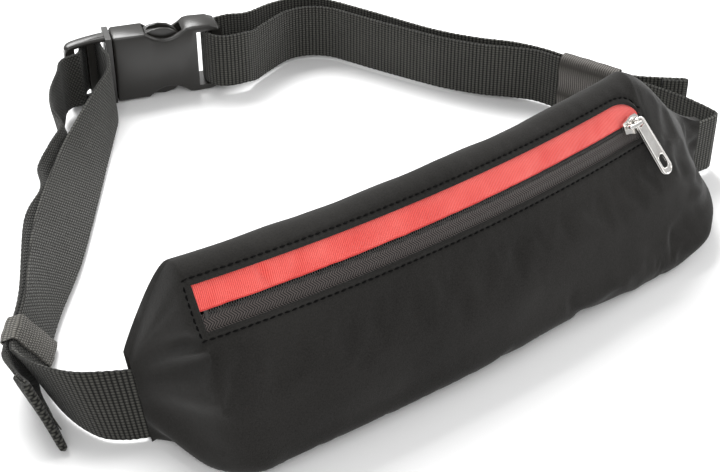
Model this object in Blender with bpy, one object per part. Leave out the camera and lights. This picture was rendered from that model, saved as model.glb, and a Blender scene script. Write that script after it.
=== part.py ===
"""A money belt: a soft pouch with a zip, two webbing straps with elastic keepers, and a side-release buckle.

The belt stands on its lower edges as if round a waist. +X runs along the pouch from its left end to its right
end, +Y runs from the pouch to the buckle at the back, and +Z is up. Lists of points are in millimetres.
"""

import math

import bmesh
import bpy
from mathutils import Matrix, Vector

for old in list(bpy.data.objects):
    bpy.data.objects.remove(old, do_unlink=True)

MM = 0.001
GAP = 0.3

# Pouch
POUCH_LENGTH = 250.0
POUCH_WALL = 0.7
SEAM_HEIGHT = 29.0  # height of the seam at each end, which holds the webbing
SEAM_HALF = 2.35  # half the thickness of that seam, outside
LEFT_SEAM_LEAN = math.radians(20)
RIGHT_SEAM_LEAN = 0.0
FLOOR_SEAM_Y = -6.0
LEFT_TAPER = (15.0, 10.5)  # how far from the end the closing starts, at the floor and at the top
RIGHT_TAPER = (33.0, 34.0, 54.0)  # the same, and how far from the end the top starts to drop
FRONT_FOOT = (-43.5, 0.0, 9.0)  # y, z and corner radius of the section, from the front edge of the floor
FRONT_KNEE_Z, FRONT_KNEE_RADIUS = 33.2, 35.0
TOP_RADIUS = 7.0
BACK_LINE = ((-6.0, 64.0), (3.0, 25.0))  # two points of the straight back
BACK_FOOT = (6.0, 0.0, 8.0)
SEAM_EASE = 0.07  # the back panel starts to close this much later, which leaves room for the webbing's end
TOP_SEAM_GAP = 1.0  # it narrows where the ends close
TOP_ARC_PIECES, TOP_ARC_KEPT = 9, 6  # the rolled top's arc, and how much of it the front panel covers

# Zip: it lies on the face, along an arc about an upright axis behind the pouch
ZIP_RADIUS = 670.0
ZIP_MID_X = -21.0
ZIP_FACE_Y, ZIP_Z = -25.0, 58.5
FACE_LEAN = math.radians(29)
WINDOW_X = (-113.6, 69.8)
WINDOW_A = (-6.0, 9.2)  # down-slope and up-slope edges of the window, from the teeth
TAPE_B = (-2.6, -2.1)  # depths under the fabric's face
COIL_B = (-1.8, -0.6)
RIBBON_B = (-1.8, -1.3)
TAPE_EDGE, TAPE_WIDTH = 1.0, 10.8
COIL_A = (0.95, 2.2)
RIBBON_A = (2.6, 11.8)
COIL_X = (-110.3, 67.6)
STOP_LENGTH = 1.4
SLIDER_X = (58.9, 67.4)
SLIDER_HALF_WIDTH = 3.3
TOP_PLATE_B = (0.5, 1.5)
BOTTOM_PLATE_B = (-3.9, -2.9)
BRIDGE_B = (1.8, 4.6)
TAB_B = (2.25, 3.25)
TAB_LENGTH, TAB_HALF_WIDTH = 25.0, 2.6
TAB_ANGLE = math.radians(-73)  # from the closing direction of the zip, turned down the slope

# Webbing
STRAP_WIDTH = 25.0
STRAP_THICKNESS = 1.4

# Buckle, in its own frame: x from the socket's strap end to the plug's end, +y to the waist, z up from mid-height
BUCKLE_ANGLE = math.radians(160)
BUCKLE_ORIGIN = (18.8, 179.5, 16.0)
BUCKLE_HALF_HEIGHT = 15.5
BUCKLE_HALF_THICK = 6.2
SOCKET_LENGTH = 48.0
BAND_LENGTH = 14.0
SOCKET_SLOT = (4.8, 11.8)
SOCKET_BAR_HALF_THICK = 2.4
SLOT_HALF = 12.9
CAVITY_HALF_THICK = 3.7
COLLAR_X = (48.3, 50.9)
PLUG_END = 68.6
PLUG_CHAMFER = 0.9
LADDER_SLOTS = ((51.0, 55.5), (58.8, 64.2))
PLUG_HALF_THICK = 2.7
PLUG_SWEEP = 4.6  # how far the plug's end curves towards the waist


def material(name, colour, roughness, metallic=0.0):
    """A Principled material, made once for each name."""
    made = bpy.data.materials.get(name) or bpy.data.materials.new(name)
    made.use_nodes = True
    shader = made.node_tree.nodes["Principled BSDF"]
    shader.inputs["Base Color"].default_value = (*colour, 1.0)
    shader.inputs["Roughness"].default_value = roughness
    shader.inputs["Metallic"].default_value = metallic
    made.diffuse_color = (*colour, 1.0)
    return made


FABRIC = material("black_fabric", (0.022, 0.022, 0.024), 0.85)
TAPE = material("zip_tape_black", (0.015, 0.015, 0.016), 0.8)
COIL = material("zip_coil_black", (0.02, 0.02, 0.02), 0.45)
RIBBON = material("red_ribbon", (0.75, 0.035, 0.03), 0.6)
WEBBING = material("grey_webbing", (0.045, 0.047, 0.04), 0.8)
ELASTIC = material("grey_elastic", (0.09, 0.09, 0.075), 0.8)
PLASTIC = material("buckle_plastic", (0.04, 0.04, 0.037), 0.38)
NICKEL = material("nickel", (0.62, 0.61, 0.6), 0.25, 1.0)
THREAD = material("black_thread", (0.02, 0.02, 0.02), 0.7)


def add_object(name, mesh_data, finish, smooth=30):
    """Turns a bmesh in millimetres into a named object in metres, with its faces pointing out."""
    bmesh.ops.remove_doubles(mesh_data, verts=mesh_data.verts, dist=1e-4)
    bmesh.ops.recalc_face_normals(mesh_data, faces=mesh_data.faces)
    bmesh.ops.scale(mesh_data, vec=(MM, MM, MM), verts=mesh_data.verts)
    mesh = bpy.data.meshes.new(name)
    mesh_data.to_mesh(mesh)
    mesh_data.free()
    mesh.materials.append(finish)
    mesh.shade_smooth()
    mesh.set_sharp_from_angle(angle=math.radians(smooth))
    made = bpy.data.objects.new(name, mesh)
    bpy.context.scene.collection.objects.link(made)
    return made


def tube_of_rings(rings):
    """A closed bmesh from a list of rings with equal point counts, with flat ends."""
    made = bmesh.new()
    rows = [[made.verts.new(point) for point in ring] for ring in rings]
    count = len(rows[0])
    for row, following in zip(rows, rows[1:]):
        for i in range(count):
            j = (i + 1) % count
            made.faces.new((row[i], row[j], following[j], following[i]))
    made.faces.new(rows[0])
    made.faces.new(rows[-1])
    return made


def prism(outline, low, high):
    """A closed bmesh: an outline in x and z, extruded along y."""
    return tube_of_rings([[(x, y, z) for x, z in outline] for y in (low, high)])


def box(x, y, z):
    return prism([(x[0], z[0]), (x[1], z[0]), (x[1], z[1]), (x[0], z[1])], *y)


def cut(target, tool_data, operation="DIFFERENCE"):
    """Cuts or joins one more bmesh, in the target's own frame, by a Boolean modifier with a hidden tool."""
    tool = add_object(f"{target.name}_tool_{len(target.modifiers)}", tool_data, target.data.materials[0])
    tool.parent = target
    tool.hide_render = True
    tool.display_type = "WIRE"
    modifier = target.modifiers.new(operation.lower(), "BOOLEAN")
    modifier.operation = operation
    modifier.object = tool
    return modifier


def bevel(target, width, segments=2):
    modifier = target.modifiers.new("bevel", "BEVEL")
    modifier.width = width * MM
    modifier.segments = segments
    modifier.limit_method = "ANGLE"
    modifier.angle_limit = math.radians(40)


# ---------------------------------------------------------------- curves


def smooth_path(points, step):
    """A Catmull-Rom curve through the points, as vectors about one step apart."""
    spots = [Vector(point) for point in points]
    spots = [2 * spots[0] - spots[1], *spots, 2 * spots[-1] - spots[-2]]
    found = []
    for a, b, c, d in zip(spots, spots[1:], spots[2:], spots[3:]):
        pieces = max(1, round((c - b).length / step))
        for i in range(pieces):
            t = i / pieces
            found.append(
                0.5 * ((2 * b) + (c - a) * t + (2 * a - 5 * b + 4 * c - d) * t**2 + (3 * b - a - 3 * c + d) * t**3)
            )
    return [*found, spots[-2]]


def paired_paths(pairs, step):
    """The two edges of a strap: each pair is its lower edge and its upper edge at one place."""
    both = smooth_path([(*low, *high) for low, high in pairs], step)
    return [Vector(point[:3]) for point in both], [Vector(point[3:]) for point in both]


def strap(name, pairs, step=5.0, thickness=STRAP_THICKNESS, hem=0.0, hem_thickness=0.0, finish=WEBBING):
    """Flat webbing between two edge curves. The last stretch, of length hem, is folded and thicker."""
    low, high = paired_paths(pairs, step)
    lengths = [0.0]
    for before, after in zip(low, low[1:]):
        lengths.append(lengths[-1] + (after - before).length)
    rings = []
    for i, (foot, head) in enumerate(zip(low, high)):
        ahead = min(i + 1, len(low) - 1)
        behind = max(i - 1, 0)
        along = (low[ahead] - low[behind]) + (high[ahead] - high[behind])
        across = (head - foot).normalized()
        normal = along.cross(across).normalized()
        folded = hem > 0 and lengths[-1] - lengths[i] <= hem
        half = normal * (hem_thickness if folded else thickness) / 2
        rings.append([foot - half, head - half, head + half, foot + half])
    return add_object(name, tube_of_rings(rings), finish)


def upright(points, low, high):
    """Edge pairs of a strap that stands upright on a plan curve."""
    return [((x, y, low), (x, y, high)) for x, y in points]


BUCKLE_FRAME = Matrix.Translation(BUCKLE_ORIGIN) @ Matrix.Rotation(BUCKLE_ANGLE, 4, "Z")


def at_buckle(x, y, z=0.0):
    """A point given in the buckle's frame, in the belt's frame."""
    return BUCKLE_FRAME @ Vector((x, y, z))


def buckle_upright(points):
    """Edge pairs of a strap that stands upright in the buckle's frame."""
    half = STRAP_WIDTH / 2
    return [(tuple(at_buckle(x, y, -half)), tuple(at_buckle(x, y, half))) for x, y in points]


# ---------------------------------------------------------------- pouch


def line_cross(a, b, c, d):
    """Where the line through a and b meets the line through c and d, in the section's plane."""
    r = (b[0] - a[0], b[1] - a[1])
    s = (d[0] - c[0], d[1] - c[1])
    t = ((c[0] - a[0]) * s[1] - (c[1] - a[1]) * s[0]) / (r[0] * s[1] - r[1] * s[0])
    return a[0] + t * r[0], a[1] + t * r[1]


def rounded_corner(before, corner, after, radius, pieces):
    """Points along the arc that rounds one corner of the section."""
    corner = Vector(corner)
    into = (Vector(before) - corner).normalized()
    out = (Vector(after) - corner).normalized()
    half = into.angle(out) / 2
    run = radius / math.tan(half)
    centre = corner + (into + out).normalized() * radius / math.sin(half)
    first = corner + into * run - centre
    turn = math.pi - 2 * half
    if first.x * into.y - first.y * into.x > 0:
        turn = -turn
    found = []
    for i in range(pieces + 1):
        angle = turn * i / pieces
        c, s = math.cos(angle), math.sin(angle)
        found.append((centre.x + first.x * c - first.y * s, centre.y + first.x * s + first.y * c))
    return found


def face_y(z):
    return ZIP_FACE_Y + (z - ZIP_Z) * math.tan(FACE_LEAN)


FACE_LOW = (face_y(0.0), 0.0)
FACE_ZIP = (ZIP_FACE_Y, ZIP_Z)
KNEE = (face_y(FRONT_KNEE_Z), FRONT_KNEE_Z)
PEAK = line_cross(FACE_LOW, FACE_ZIP, *BACK_LINE)
FRONT_CORNER, BACK_CORNER = FRONT_FOOT[:2], BACK_FOOT[:2]


def rolled_top():
    return rounded_corner(KNEE, PEAK, BACK_CORNER, TOP_RADIUS, TOP_ARC_PIECES)


def front_section():
    """The front panel's section: the floor, the face with its zip, and the rolled top."""
    start = (FLOOR_SEAM_Y, 0.0)
    foot = rounded_corner(start, FRONT_CORNER, KNEE, FRONT_FOOT[2], 5)
    knee = rounded_corner(FRONT_CORNER, KNEE, PEAK, FRONT_KNEE_RADIUS, 3)
    top = rolled_top()[: TOP_ARC_KEPT + 1]
    floor = [start, (FLOOR_SEAM_Y - 8, 0.0), (FLOOR_SEAM_Y - 16, 0.0)]
    lower = [tuple(Vector(foot[-1]).lerp(Vector(knee[0]), t)) for t in (1 / 3, 2 / 3)]
    face = [tuple(Vector(knee[-1]).lerp(Vector(top[0]), t)) for t in (0.25, 0.5, 0.75)]
    return [*floor, *foot, *lower, *knee, *face, *top]


def back_section():
    """The back panel's section: from the top seam down the back to the floor seam."""
    top = [Vector(point) for point in rolled_top()[TOP_ARC_KEPT:]]
    top[0] += (top[1] - top[0]).normalized() * TOP_SEAM_GAP
    foot = rounded_corner(PEAK, BACK_CORNER, (FLOOR_SEAM_Y, 0.0), BACK_FOOT[2], 4)
    between = [tuple(top[-1].lerp(Vector(foot[0]), t)) for t in (0.2, 0.4, 0.6, 0.8)]
    return [*[tuple(point) for point in top], *between, *foot, (FLOOR_SEAM_Y + GAP, 0.0)]


def ease(value):
    value = min(max(value, 0.0), 1.0)
    return value * value * (3 - 2 * value)


def arc_sag(x):
    """How far the zip's arc has gone back at this x."""
    return (x - ZIP_MID_X) ** 2 / (2 * ZIP_RADIUS)


def pouch_point(x, y, z, share, side):
    """One point of the pouch. Away from the ends it is the section; at the ends it closes onto the seam."""
    inward = POUCH_LENGTH / 2 - abs(x)
    seam_z = GAP + share * (SEAM_HEIGHT - GAP)
    if x < 0:
        lean = LEFT_SEAM_LEAN
        low_run, high_run = LEFT_TAPER
        rise = ease((inward + 0.5) / (high_run + 0.5)) ** 0.85 if inward > 0 else 0.0
    else:
        lean = RIGHT_SEAM_LEAN
        low_run, high_run, drop_run = RIGHT_TAPER
        along = min(inward / drop_run, 1.0)
        rise = 0.5 * (along**1.15 + ease(along))
    seam_y = math.tan(lean) * seam_z + side * SEAM_HALF
    low_fill = min(inward / low_run, 1.0) ** 0.85
    high_fill = ease(inward / high_run)
    if side > 0:
        high_fill = max(high_fill - SEAM_EASE, 0.0) / (1.0 - SEAM_EASE)
    height = ease(z / 45.0)
    fill = low_fill + (high_fill - low_fill) * height
    low_sag = 0.75 if x < ZIP_MID_X else 0.05
    sag = arc_sag(x) * (low_sag + (1.0 - low_sag) * ease(z / 32.0))
    return Vector((x, seam_y + (y + sag - seam_y) * fill, seam_z + (z - seam_z) * rise))


def pouch_stations():
    left = [-POUCH_LENGTH / 2 + d for d in (0.0, 2.0, 4.0, 6.0, 8.2, 10.5, 13.0, 17.0, 21.0, 25.0)]
    right = [POUCH_LENGTH / 2 - d for d in (54.0, 47.0, 40.0, 33.0, 26.0, 20.0, 15.0, 10.0, 6.0, 2.5, 0.0)]
    steps = 14
    middle = [left[-1] + (right[0] - left[-1]) * i / steps for i in range(1, steps)]
    return [*left, *middle, *right]


def panel(name, section, side):
    """A fabric panel of even thickness over the pouch's section."""
    xs = pouch_stations()
    runs = [0.0]
    for before, after in zip(section, section[1:]):
        runs.append(runs[-1] + math.dist(before, after))
    shares = [run / runs[-1] for run in runs]
    if side > 0:
        shares = [1 - share for share in shares]
    outer = [[pouch_point(x, y, z, share, side) for (y, z), share in zip(section, shares)] for x in xs]
    rows, columns = len(xs), len(section)
    inner = []
    for i in range(rows):
        row = []
        for j in range(columns):
            along = outer[min(i + 1, rows - 1)][j] - outer[max(i - 1, 0)][j]
            up = outer[i][min(j + 1, columns - 1)] - outer[i][max(j - 1, 0)]
            if i in (0, rows - 1):
                along = Vector((1.0, 0.0, 0.0))
            away = up.cross(along).normalized()
            away = Vector((0.0, -side, 0.0)).lerp(away, ease((POUCH_LENGTH / 2 - abs(xs[i])) / 14.0))
            row.append(outer[i][j] + away.normalized() * POUCH_WALL)
        inner.append(row)
    made = bmesh.new()
    skins = [[[made.verts.new(point) for point in row] for row in skin] for skin in (outer, inner)]
    for skin in skins:
        for i in range(rows - 1):
            for j in range(columns - 1):
                made.faces.new((skin[i][j], skin[i + 1][j], skin[i + 1][j + 1], skin[i][j + 1]))
    rim = [(i, 0) for i in range(rows)]
    rim += [(rows - 1, j) for j in range(1, columns)]
    rim += [(i, columns - 1) for i in range(rows - 2, -1, -1)]
    rim += [(0, j) for j in range(columns - 2, 0, -1)]
    for (i, j), (k, m) in zip(rim, [*rim[1:], rim[0]]):
        made.faces.new((skins[0][i][j], skins[0][k][m], skins[1][k][m], skins[1][i][j]))
    return add_object(name, made, FABRIC, smooth=50)


# ---------------------------------------------------------------- zip


def on_zip(x, a, b):
    """A point at x along the zip, a up the slope from its teeth and b out of the fabric's face."""
    turn = math.asin((x - ZIP_MID_X) / ZIP_RADIUS)
    out = ZIP_RADIUS + b * math.cos(FACE_LEAN) - a * math.sin(FACE_LEAN)
    height = ZIP_Z + b * math.sin(FACE_LEAN) + a * math.cos(FACE_LEAN)
    centre_y = ZIP_FACE_Y + ZIP_RADIUS
    return Vector((ZIP_MID_X + out * math.sin(turn), centre_y - out * math.cos(turn), height))


def zip_strip(x, a, b, step=14.0):
    """A closed bmesh of rectangular section that follows the zip's arc."""
    pieces = max(1, math.ceil((x[1] - x[0]) / step))
    rings = []
    for i in range(pieces + 1):
        at = x[0] + (x[1] - x[0]) * i / pieces
        rings.append([on_zip(at, a[0], b[0]), on_zip(at, a[1], b[0]), on_zip(at, a[1], b[1]), on_zip(at, a[0], b[1])])
    return tube_of_rings(rings)


def mirrored(a):
    return (-a[1], -a[0])


def make_zip():
    tape_x = (WINDOW_X[0] - 0.6, WINDOW_X[1] + 1.0)
    tape_a = (TAPE_EDGE, TAPE_EDGE + TAPE_WIDTH)
    add_object("zip_tape_upper", zip_strip(tape_x, tape_a, TAPE_B), TAPE)
    add_object("zip_tape_lower", zip_strip(tape_x, mirrored(tape_a), TAPE_B), TAPE)
    add_object("zip_coil_upper", zip_strip(COIL_X, COIL_A, COIL_B), COIL)
    add_object("zip_coil_lower", zip_strip(COIL_X, mirrored(COIL_A), COIL_B), COIL)
    bottom = (COIL_X[0] - GAP - STOP_LENGTH, COIL_X[0] - GAP)
    add_object("zip_bottom_stop", zip_strip(bottom, (-COIL_A[1], COIL_A[1]), COIL_B), NICKEL)
    top = (COIL_X[1] + GAP, COIL_X[1] + GAP + STOP_LENGTH)
    add_object("zip_top_stop_upper", zip_strip(top, COIL_A, COIL_B), NICKEL)
    add_object("zip_top_stop_lower", zip_strip(top, mirrored(COIL_A), COIL_B), NICKEL)
    add_object("red_ribbon", zip_strip(tape_x, RIBBON_A, RIBBON_B), RIBBON)
    away, thread = 2.2, 0.45
    x = (WINDOW_X[0] - 1.6, WINDOW_X[1] + 2.4)
    a = (WINDOW_A[0] - away, WINDOW_A[1] + away - 0.4)
    b = (GAP, GAP + 0.35)
    stitching = add_object("zip_topstitch", zip_strip(x, a, b), THREAD)
    inside = zip_strip((x[0] + thread, x[1] - thread), (a[0] + thread, a[1] - thread), (b[0] - 2, b[1] + 2))
    cut(stitching, inside)


SLIDER_MID = sum(SLIDER_X) / 2


def slider_matrix():
    """The slider's own frame: x along the zip towards its closed end, y up the slope, z out of the face."""
    middle = on_zip(SLIDER_MID, 0.0, 0.0)
    along = (on_zip(SLIDER_MID + 0.5, 0, 0) - on_zip(SLIDER_MID - 0.5, 0, 0)).normalized()
    up = (on_zip(SLIDER_MID, 1.0, 0) - middle).normalized()
    out = along.cross(up).normalized()
    frame = Matrix((along, up, out)).transposed().to_4x4()
    return Matrix.Translation(middle * MM) @ frame


def slab(outline, low, high):
    """A closed bmesh: an outline in x and y, extruded along z."""
    return tube_of_rings([[(x, y, z) for x, y in outline] for z in (low, high)])


def slider_outline(half_width):
    """The slider's plate seen from outside: straight at the closed end, with two shoulders at the other."""
    half = (SLIDER_X[1] - SLIDER_X[0]) / 2
    side = [(-half, half_width * 0.62), (-half * 0.55, half_width * 0.72), (half * 0.05, half_width)]
    side += [(half * 0.7, half_width), (half, half_width * 0.6)]
    return [(x, -y) for x, y in side] + [(x, y) for x, y in reversed(side)]


LEG_X = 2.6  # the bridge's two legs stand this far from its middle
LEG_HALF = 0.55


def make_slider():
    frame = slider_matrix()
    axis = bpy.data.objects.new("zip_arc_axis", None)
    axis.location = Vector((ZIP_MID_X, ZIP_FACE_Y + ZIP_RADIUS, 0.0)) * MM
    bpy.context.scene.collection.objects.link(axis)
    body = add_object("zip_slider_body", slab(slider_outline(SLIDER_HALF_WIDTH), *TOP_PLATE_B), NICKEL)
    body.parent = axis
    placed = Matrix.Translation(-axis.location) @ frame
    body.matrix_local = placed
    low, high = BOTTOM_PLATE_B[1] - 0.4, TOP_PLATE_B[0] + 0.4
    cut(body, slab(slider_outline(SLIDER_HALF_WIDTH - 0.2), *BOTTOM_PLATE_B), "UNION")
    cut(body, slab([(1.0, 0.0), (2.0, -0.6), (3.6, -0.6), (3.6, 0.6), (2.0, 0.6)], low, high), "UNION")
    for side in (-1, 1):
        edges = sorted((side * 2.55, side * (SLIDER_HALF_WIDTH - 0.05)))
        flange = [(0.3, edges[0]), (2.9, edges[0]), (2.9, edges[1]), (0.3, edges[1])]
        cut(body, slab(flange, -0.85, high), "UNION")

    low, high = BRIDGE_B
    roof = high - 0.9
    arch = [
        (-LEG_X - LEG_HALF, low),
        (-LEG_X + LEG_HALF, low),
        (-LEG_X + LEG_HALF, roof - 0.4),
        (-LEG_X + LEG_HALF + 0.5, roof),
        (LEG_X - LEG_HALF - 0.5, roof),
        (LEG_X - LEG_HALF, roof - 0.4),
        (LEG_X - LEG_HALF, low),
        (LEG_X + LEG_HALF, low),
        (LEG_X + LEG_HALF, high - 1.2),
        (LEG_X - LEG_HALF, high),
        (-LEG_X + LEG_HALF, high),
        (-LEG_X - LEG_HALF, high - 1.2),
    ]
    bridge = add_object("zip_slider_bridge", prism(arch, -0.75, 0.75), NICKEL)
    bridge.parent = axis
    bridge.matrix_local = placed

    # The tab's frame: its origin is on the leg that its eye turns round, and x runs along the tab.
    tab_frame = frame @ Matrix.Translation((LEG_X * MM, 0, 0)) @ Matrix.Rotation(TAB_ANGLE, 4, "Z")
    half = TAB_HALF_WIDTH
    back = -1.9
    outline = []
    for centre, start, radius in ((TAB_LENGTH - half + back, -90, half), (0.35, 90, 2.25)):
        for i in range(9):
            angle = math.radians(start + 180 * i / 8)
            outline.append((centre + radius * math.cos(angle), radius * math.sin(angle)))
    tab = add_object("pull_tab", slab(outline, *TAB_B), NICKEL)
    tab.matrix_world = tab_frame
    eye = [(-0.95, -1.2), (1.7, -1.2), (1.7, 1.2), (-0.95, 1.2)]
    cut(tab, slab(eye, TAB_B[0] - 1, TAB_B[1] + 1))
    hole = []
    for centre, start in ((TAB_LENGTH + back - 4.2, -90), (TAB_LENGTH + back - 6.6, 90)):
        for i in range(7):
            angle = math.radians(start + 180 * i / 6)
            hole.append((centre + 1.55 * math.cos(angle), 1.55 * math.sin(angle)))
    cut(tab, slab(hole, TAB_B[0] - 1, TAB_B[1] + 1))


# ---------------------------------------------------------------- straps and keepers

RIGHT_RUN = [
    (122.8, -0.4), (125.0, 0.0), (131.0, -0.3), (135.0, -0.5), (137.2, 0.6), (137.6, 3.6),
    (137.2, 9.5), (136.0, 18.0), (133.0, 30.0), (126.0, 50.0), (119.0, 70.0), (115.2, 80.8),
    (108.5, 89.5), (99.5, 99.5), (91.0, 112.5), (85.4, 124.0), (77.5, 142.0), (71.8, 156.0),
    (67.5, 165.5), (60.5, 172.3), (50.5, 174.8), (38.0, 171.6), (29.0, 168.6),
]  # fmt: skip
RIGHT_BUCKLE_IN = [(-8.5, 10.4), (-3.0, 11.3), (2.0, 10.8), (5.6, 8.4), (7.8, 4.6), (8.3, 0.0)]
RIGHT_BUCKLE_OUT = [(7.2, -4.0), (4.0, -6.2), (0.0, -7.0), (-5.0, -7.9)]
RIGHT_TAIL = [
    (35.5, 184.3), (48.5, 185.2), (59.5, 183.4), (67.4, 178.4), (72.4, 170.4), (76.8, 160.0),
    (82.4, 145.8), (89.4, 127.4), (95.4, 115.2), (103.2, 103.4), (111.6, 93.0), (117.6, 81.9),
    (121.3, 71.0), (128.4, 50.8), (130.8, 43.8), (133.6, 39.6), (139.6, 33.8), (147.4, 26.9),
]  # fmt: skip
KEEPER_LIFT = 1.9


def right_strap_pairs():
    run = upright(RIGHT_RUN, KEEPER_LIFT, KEEPER_LIFT + STRAP_WIDTH)
    return run + buckle_upright(RIGHT_BUCKLE_IN[:2])


def make_right_strap():
    main = right_strap_pairs()
    strap("strap_right_main", main)
    loop = buckle_upright([RIGHT_BUCKLE_IN[1], *RIGHT_BUCKLE_IN[2:], *RIGHT_BUCKLE_OUT])
    start = Vector(RIGHT_BUCKLE_IN[1]).lerp(Vector(RIGHT_BUCKLE_IN[2]), 0.07)
    loop[0] = buckle_upright([tuple(start)])[0]
    strap("strap_right_loop", loop, step=2.2)
    leave = Vector(RIGHT_BUCKLE_OUT[-1]) - Vector((0.45, 0.12))
    tail = buckle_upright([tuple(leave)]) + upright(RIGHT_TAIL, KEEPER_LIFT, KEEPER_LIFT + STRAP_WIDTH)
    strap("strap_right_tail", tail, hem=10.0, hem_thickness=2.9)


LEFT_MAIN_LOW = [
    (-123.2, -0.6, 1.1), (-125.0, 0.2, 1.0), (-131.5, 3.6, 1.0), (-137.0, 9.0, 1.0), (-140.2, 18.5, 1.2),
    (-141.4, 30.0, 1.7), (-140.4, 40.0, 2.0), (-136.6, 48.7, 2.2), (-121.0, 69.5, 2.2), (-98.5, 94.5, 1.6),
    (-71.6, 129.6, 1.2), (-57.3, 148.7, 1.2), (-45.0, 165.0, 1.3), (-37.3, 175.6, 2.0),
]  # fmt: skip
LEFT_MAIN_HIGH = [
    (-123.2, 7.4, 24.7), (-125.0, 8.2, 24.6), (-132.6, 12.6, 24.6), (-140.2, 17.6, 24.9), (-145.6, 24.0, 24.9),
    (-149.0, 31.5, 24.6), (-149.8, 38.0, 23.8), (-148.6, 45.2, 22.9), (-133.0, 66.0, 22.9), (-110.4, 103.5, 22.2),
    (-83.0, 137.4, 22.0), (-66.6, 152.9, 23.9), (-49.6, 167.6, 25.9), (-38.9, 176.4, 27.0),
]  # fmt: skip
LEFT_SPLIT = 0.80  # the share of the last stretch that stays with the pouch
LEFT_BUCKLE = [
    (51.4, 13.8), (52.4, 8.4), (53.0, 4.4), (53.2, 0.8), (53.8, -2.3), (55.3, -3.7), (57.2, -4.1), (59.4, -3.4),
    (60.9, -1.2), (61.5, 2.2), (62.0, 5.6), (63.4, 8.1), (66.4, 9.2), (69.6, 10.9), (71.9, 14.6), (73.3, 20.7),
]  # fmt: skip
LEFT_TAIL_LOW = [
    (-63.3, 175.8, 1.8), (-66.8, 164.5, 1.4), (-66.4, 155.0, 1.2), (-73.0, 143.0, 1.2), (-83.2, 129.0, 1.1),
    (-89.2, 116.5, 1.1), (-101.2, 97.0, 1.6), (-122.6, 70.7, 1.5), (-138.2, 49.9, 1.5), (-143.3, 40.6, 2.0),
    (-145.6, 29.0, 2.0), (-147.5, 19.0, 1.9), (-149.0, 11.2, 1.8),
]  # fmt: skip
LEFT_TAIL_HIGH = [
    (-64.9, 177.0, 26.3), (-70.6, 165.5, 25.4), (-72.9, 153.6, 24.4), (-82.5, 144.8, 23.4), (-92.8, 134.9, 21.9),
    (-98.6, 121.6, 21.7), (-113.2, 105.8, 22.2), (-134.6, 67.2, 22.2), (-150.2, 46.4, 22.2), (-153.6, 40.6, 22.6),
    (-154.0, 34.6, 22.4), (-153.6, 29.6, 22.2), (-152.8, 25.4, 22.0),
]  # fmt: skip


def lerp_pair(first, second, share):
    return tuple(tuple(Vector(a).lerp(Vector(b), share)) for a, b in zip(first, second))


def make_left_strap():
    main = list(zip(LEFT_MAIN_LOW, LEFT_MAIN_HIGH))
    entry = buckle_upright(LEFT_BUCKLE)
    tail = list(zip(LEFT_TAIL_LOW, LEFT_TAIL_HIGH))
    before, last = main[-2], main[-1]
    strap("strap_left_main", [*main[:-1], lerp_pair(before, last, LEFT_SPLIT)])
    loop = [lerp_pair(before, last, LEFT_SPLIT + 0.03), last, *entry]
    loop.append(lerp_pair(entry[-1], tail[0], LEFT_SPLIT))
    strap("strap_left_loop", loop, step=2.6)
    tail[0] = lerp_pair(entry[-1], tail[0], LEFT_SPLIT + 0.04)
    strap("strap_left_tail", tail, hem=9.0, hem_thickness=4.4)


def keeper(name, middle, along, across, half_length, offset):
    """An elastic loop: a flat tube round two layers of webbing, built about its own middle."""
    along = Vector(along).normalized()
    across = Vector(across)
    normal = along.cross(across).normalized()
    half_width = across.length / 2 + 0.55
    across = across.normalized()
    rings = []
    wall, half_thick = 0.9, 2.55
    for wider in (0.0, wall):
        corner = 1.2 + wider
        ring = []
        for u, v, start in ((1, 1, 0), (-1, 1, 90), (-1, -1, 180), (1, -1, 270)):
            for i in range(4):
                angle = math.radians(start + 30 * i)
                across_by = u * (half_width + wider - corner) + corner * math.cos(angle)
                out_by = v * (half_thick + wider - corner) + corner * math.sin(angle)
                ring.append(across * across_by + normal * (out_by + offset))
        rings.append(ring)
    made = bmesh.new()
    rows = []
    for ring, end in ((rings[0], -1), (rings[1], -1), (rings[1], 1), (rings[0], 1)):
        rows.append([made.verts.new(point + along * (half_length * end)) for point in ring])
    count = len(rows[0])
    for row, following in zip(rows, [*rows[1:], rows[0]]):
        for i in range(count):
            j = (i + 1) % count
            made.faces.new((row[i], row[j], following[j], following[i]))
    loop = add_object(name, made, ELASTIC)
    loop.location = Vector(middle) * MM
    return loop


def make_keepers():
    middle_z = KEEPER_LIFT + STRAP_WIDTH / 2
    right_along = Vector((119.0 - 133.0, 70.0 - 30.0, 0.0))
    right_mid = Vector((123.2, 58.0, middle_z))
    keeper("keeper_right", right_mid, right_along, (0, 0, STRAP_WIDTH), 13.0, 1.15)
    left_along = Vector(LEFT_MAIN_LOW[8]) - Vector(LEFT_MAIN_LOW[7])
    across = Vector(LEFT_MAIN_HIGH[7]) - Vector(LEFT_MAIN_LOW[7])
    foot = (Vector(LEFT_MAIN_LOW[7]) + Vector(LEFT_MAIN_HIGH[7])) / 2
    left_mid = foot + left_along.normalized() * 7.2
    keeper("keeper_left", left_mid, left_along, across, 6.2, -1.1)


# ---------------------------------------------------------------- buckle


def arc_between(start, end, rise, pieces):
    """Points of a shallow arc in x and z from start to end, which stands off its chord by rise."""
    chord = Vector(end) - Vector(start)
    side = Vector((-chord.y, chord.x)).normalized()
    found = []
    for i in range(pieces + 1):
        t = i / pieces
        found.append(tuple(Vector(start) + chord * t + side * (4 * t * (1 - t) * rise)))
    return found


def socket_outline():
    top = [(0.0, 8.5), (0.7, 11.6), (2.6, 14.2), (6.0, 15.6), (13.4, 16.0)]
    top += arc_between((16.0, 15.6), (34.0, 15.5), -4.0, 8)
    top += [(SOCKET_LENGTH, 15.5)]
    return [*top, *[(x, -z) for x, z in reversed(top)]]


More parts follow.
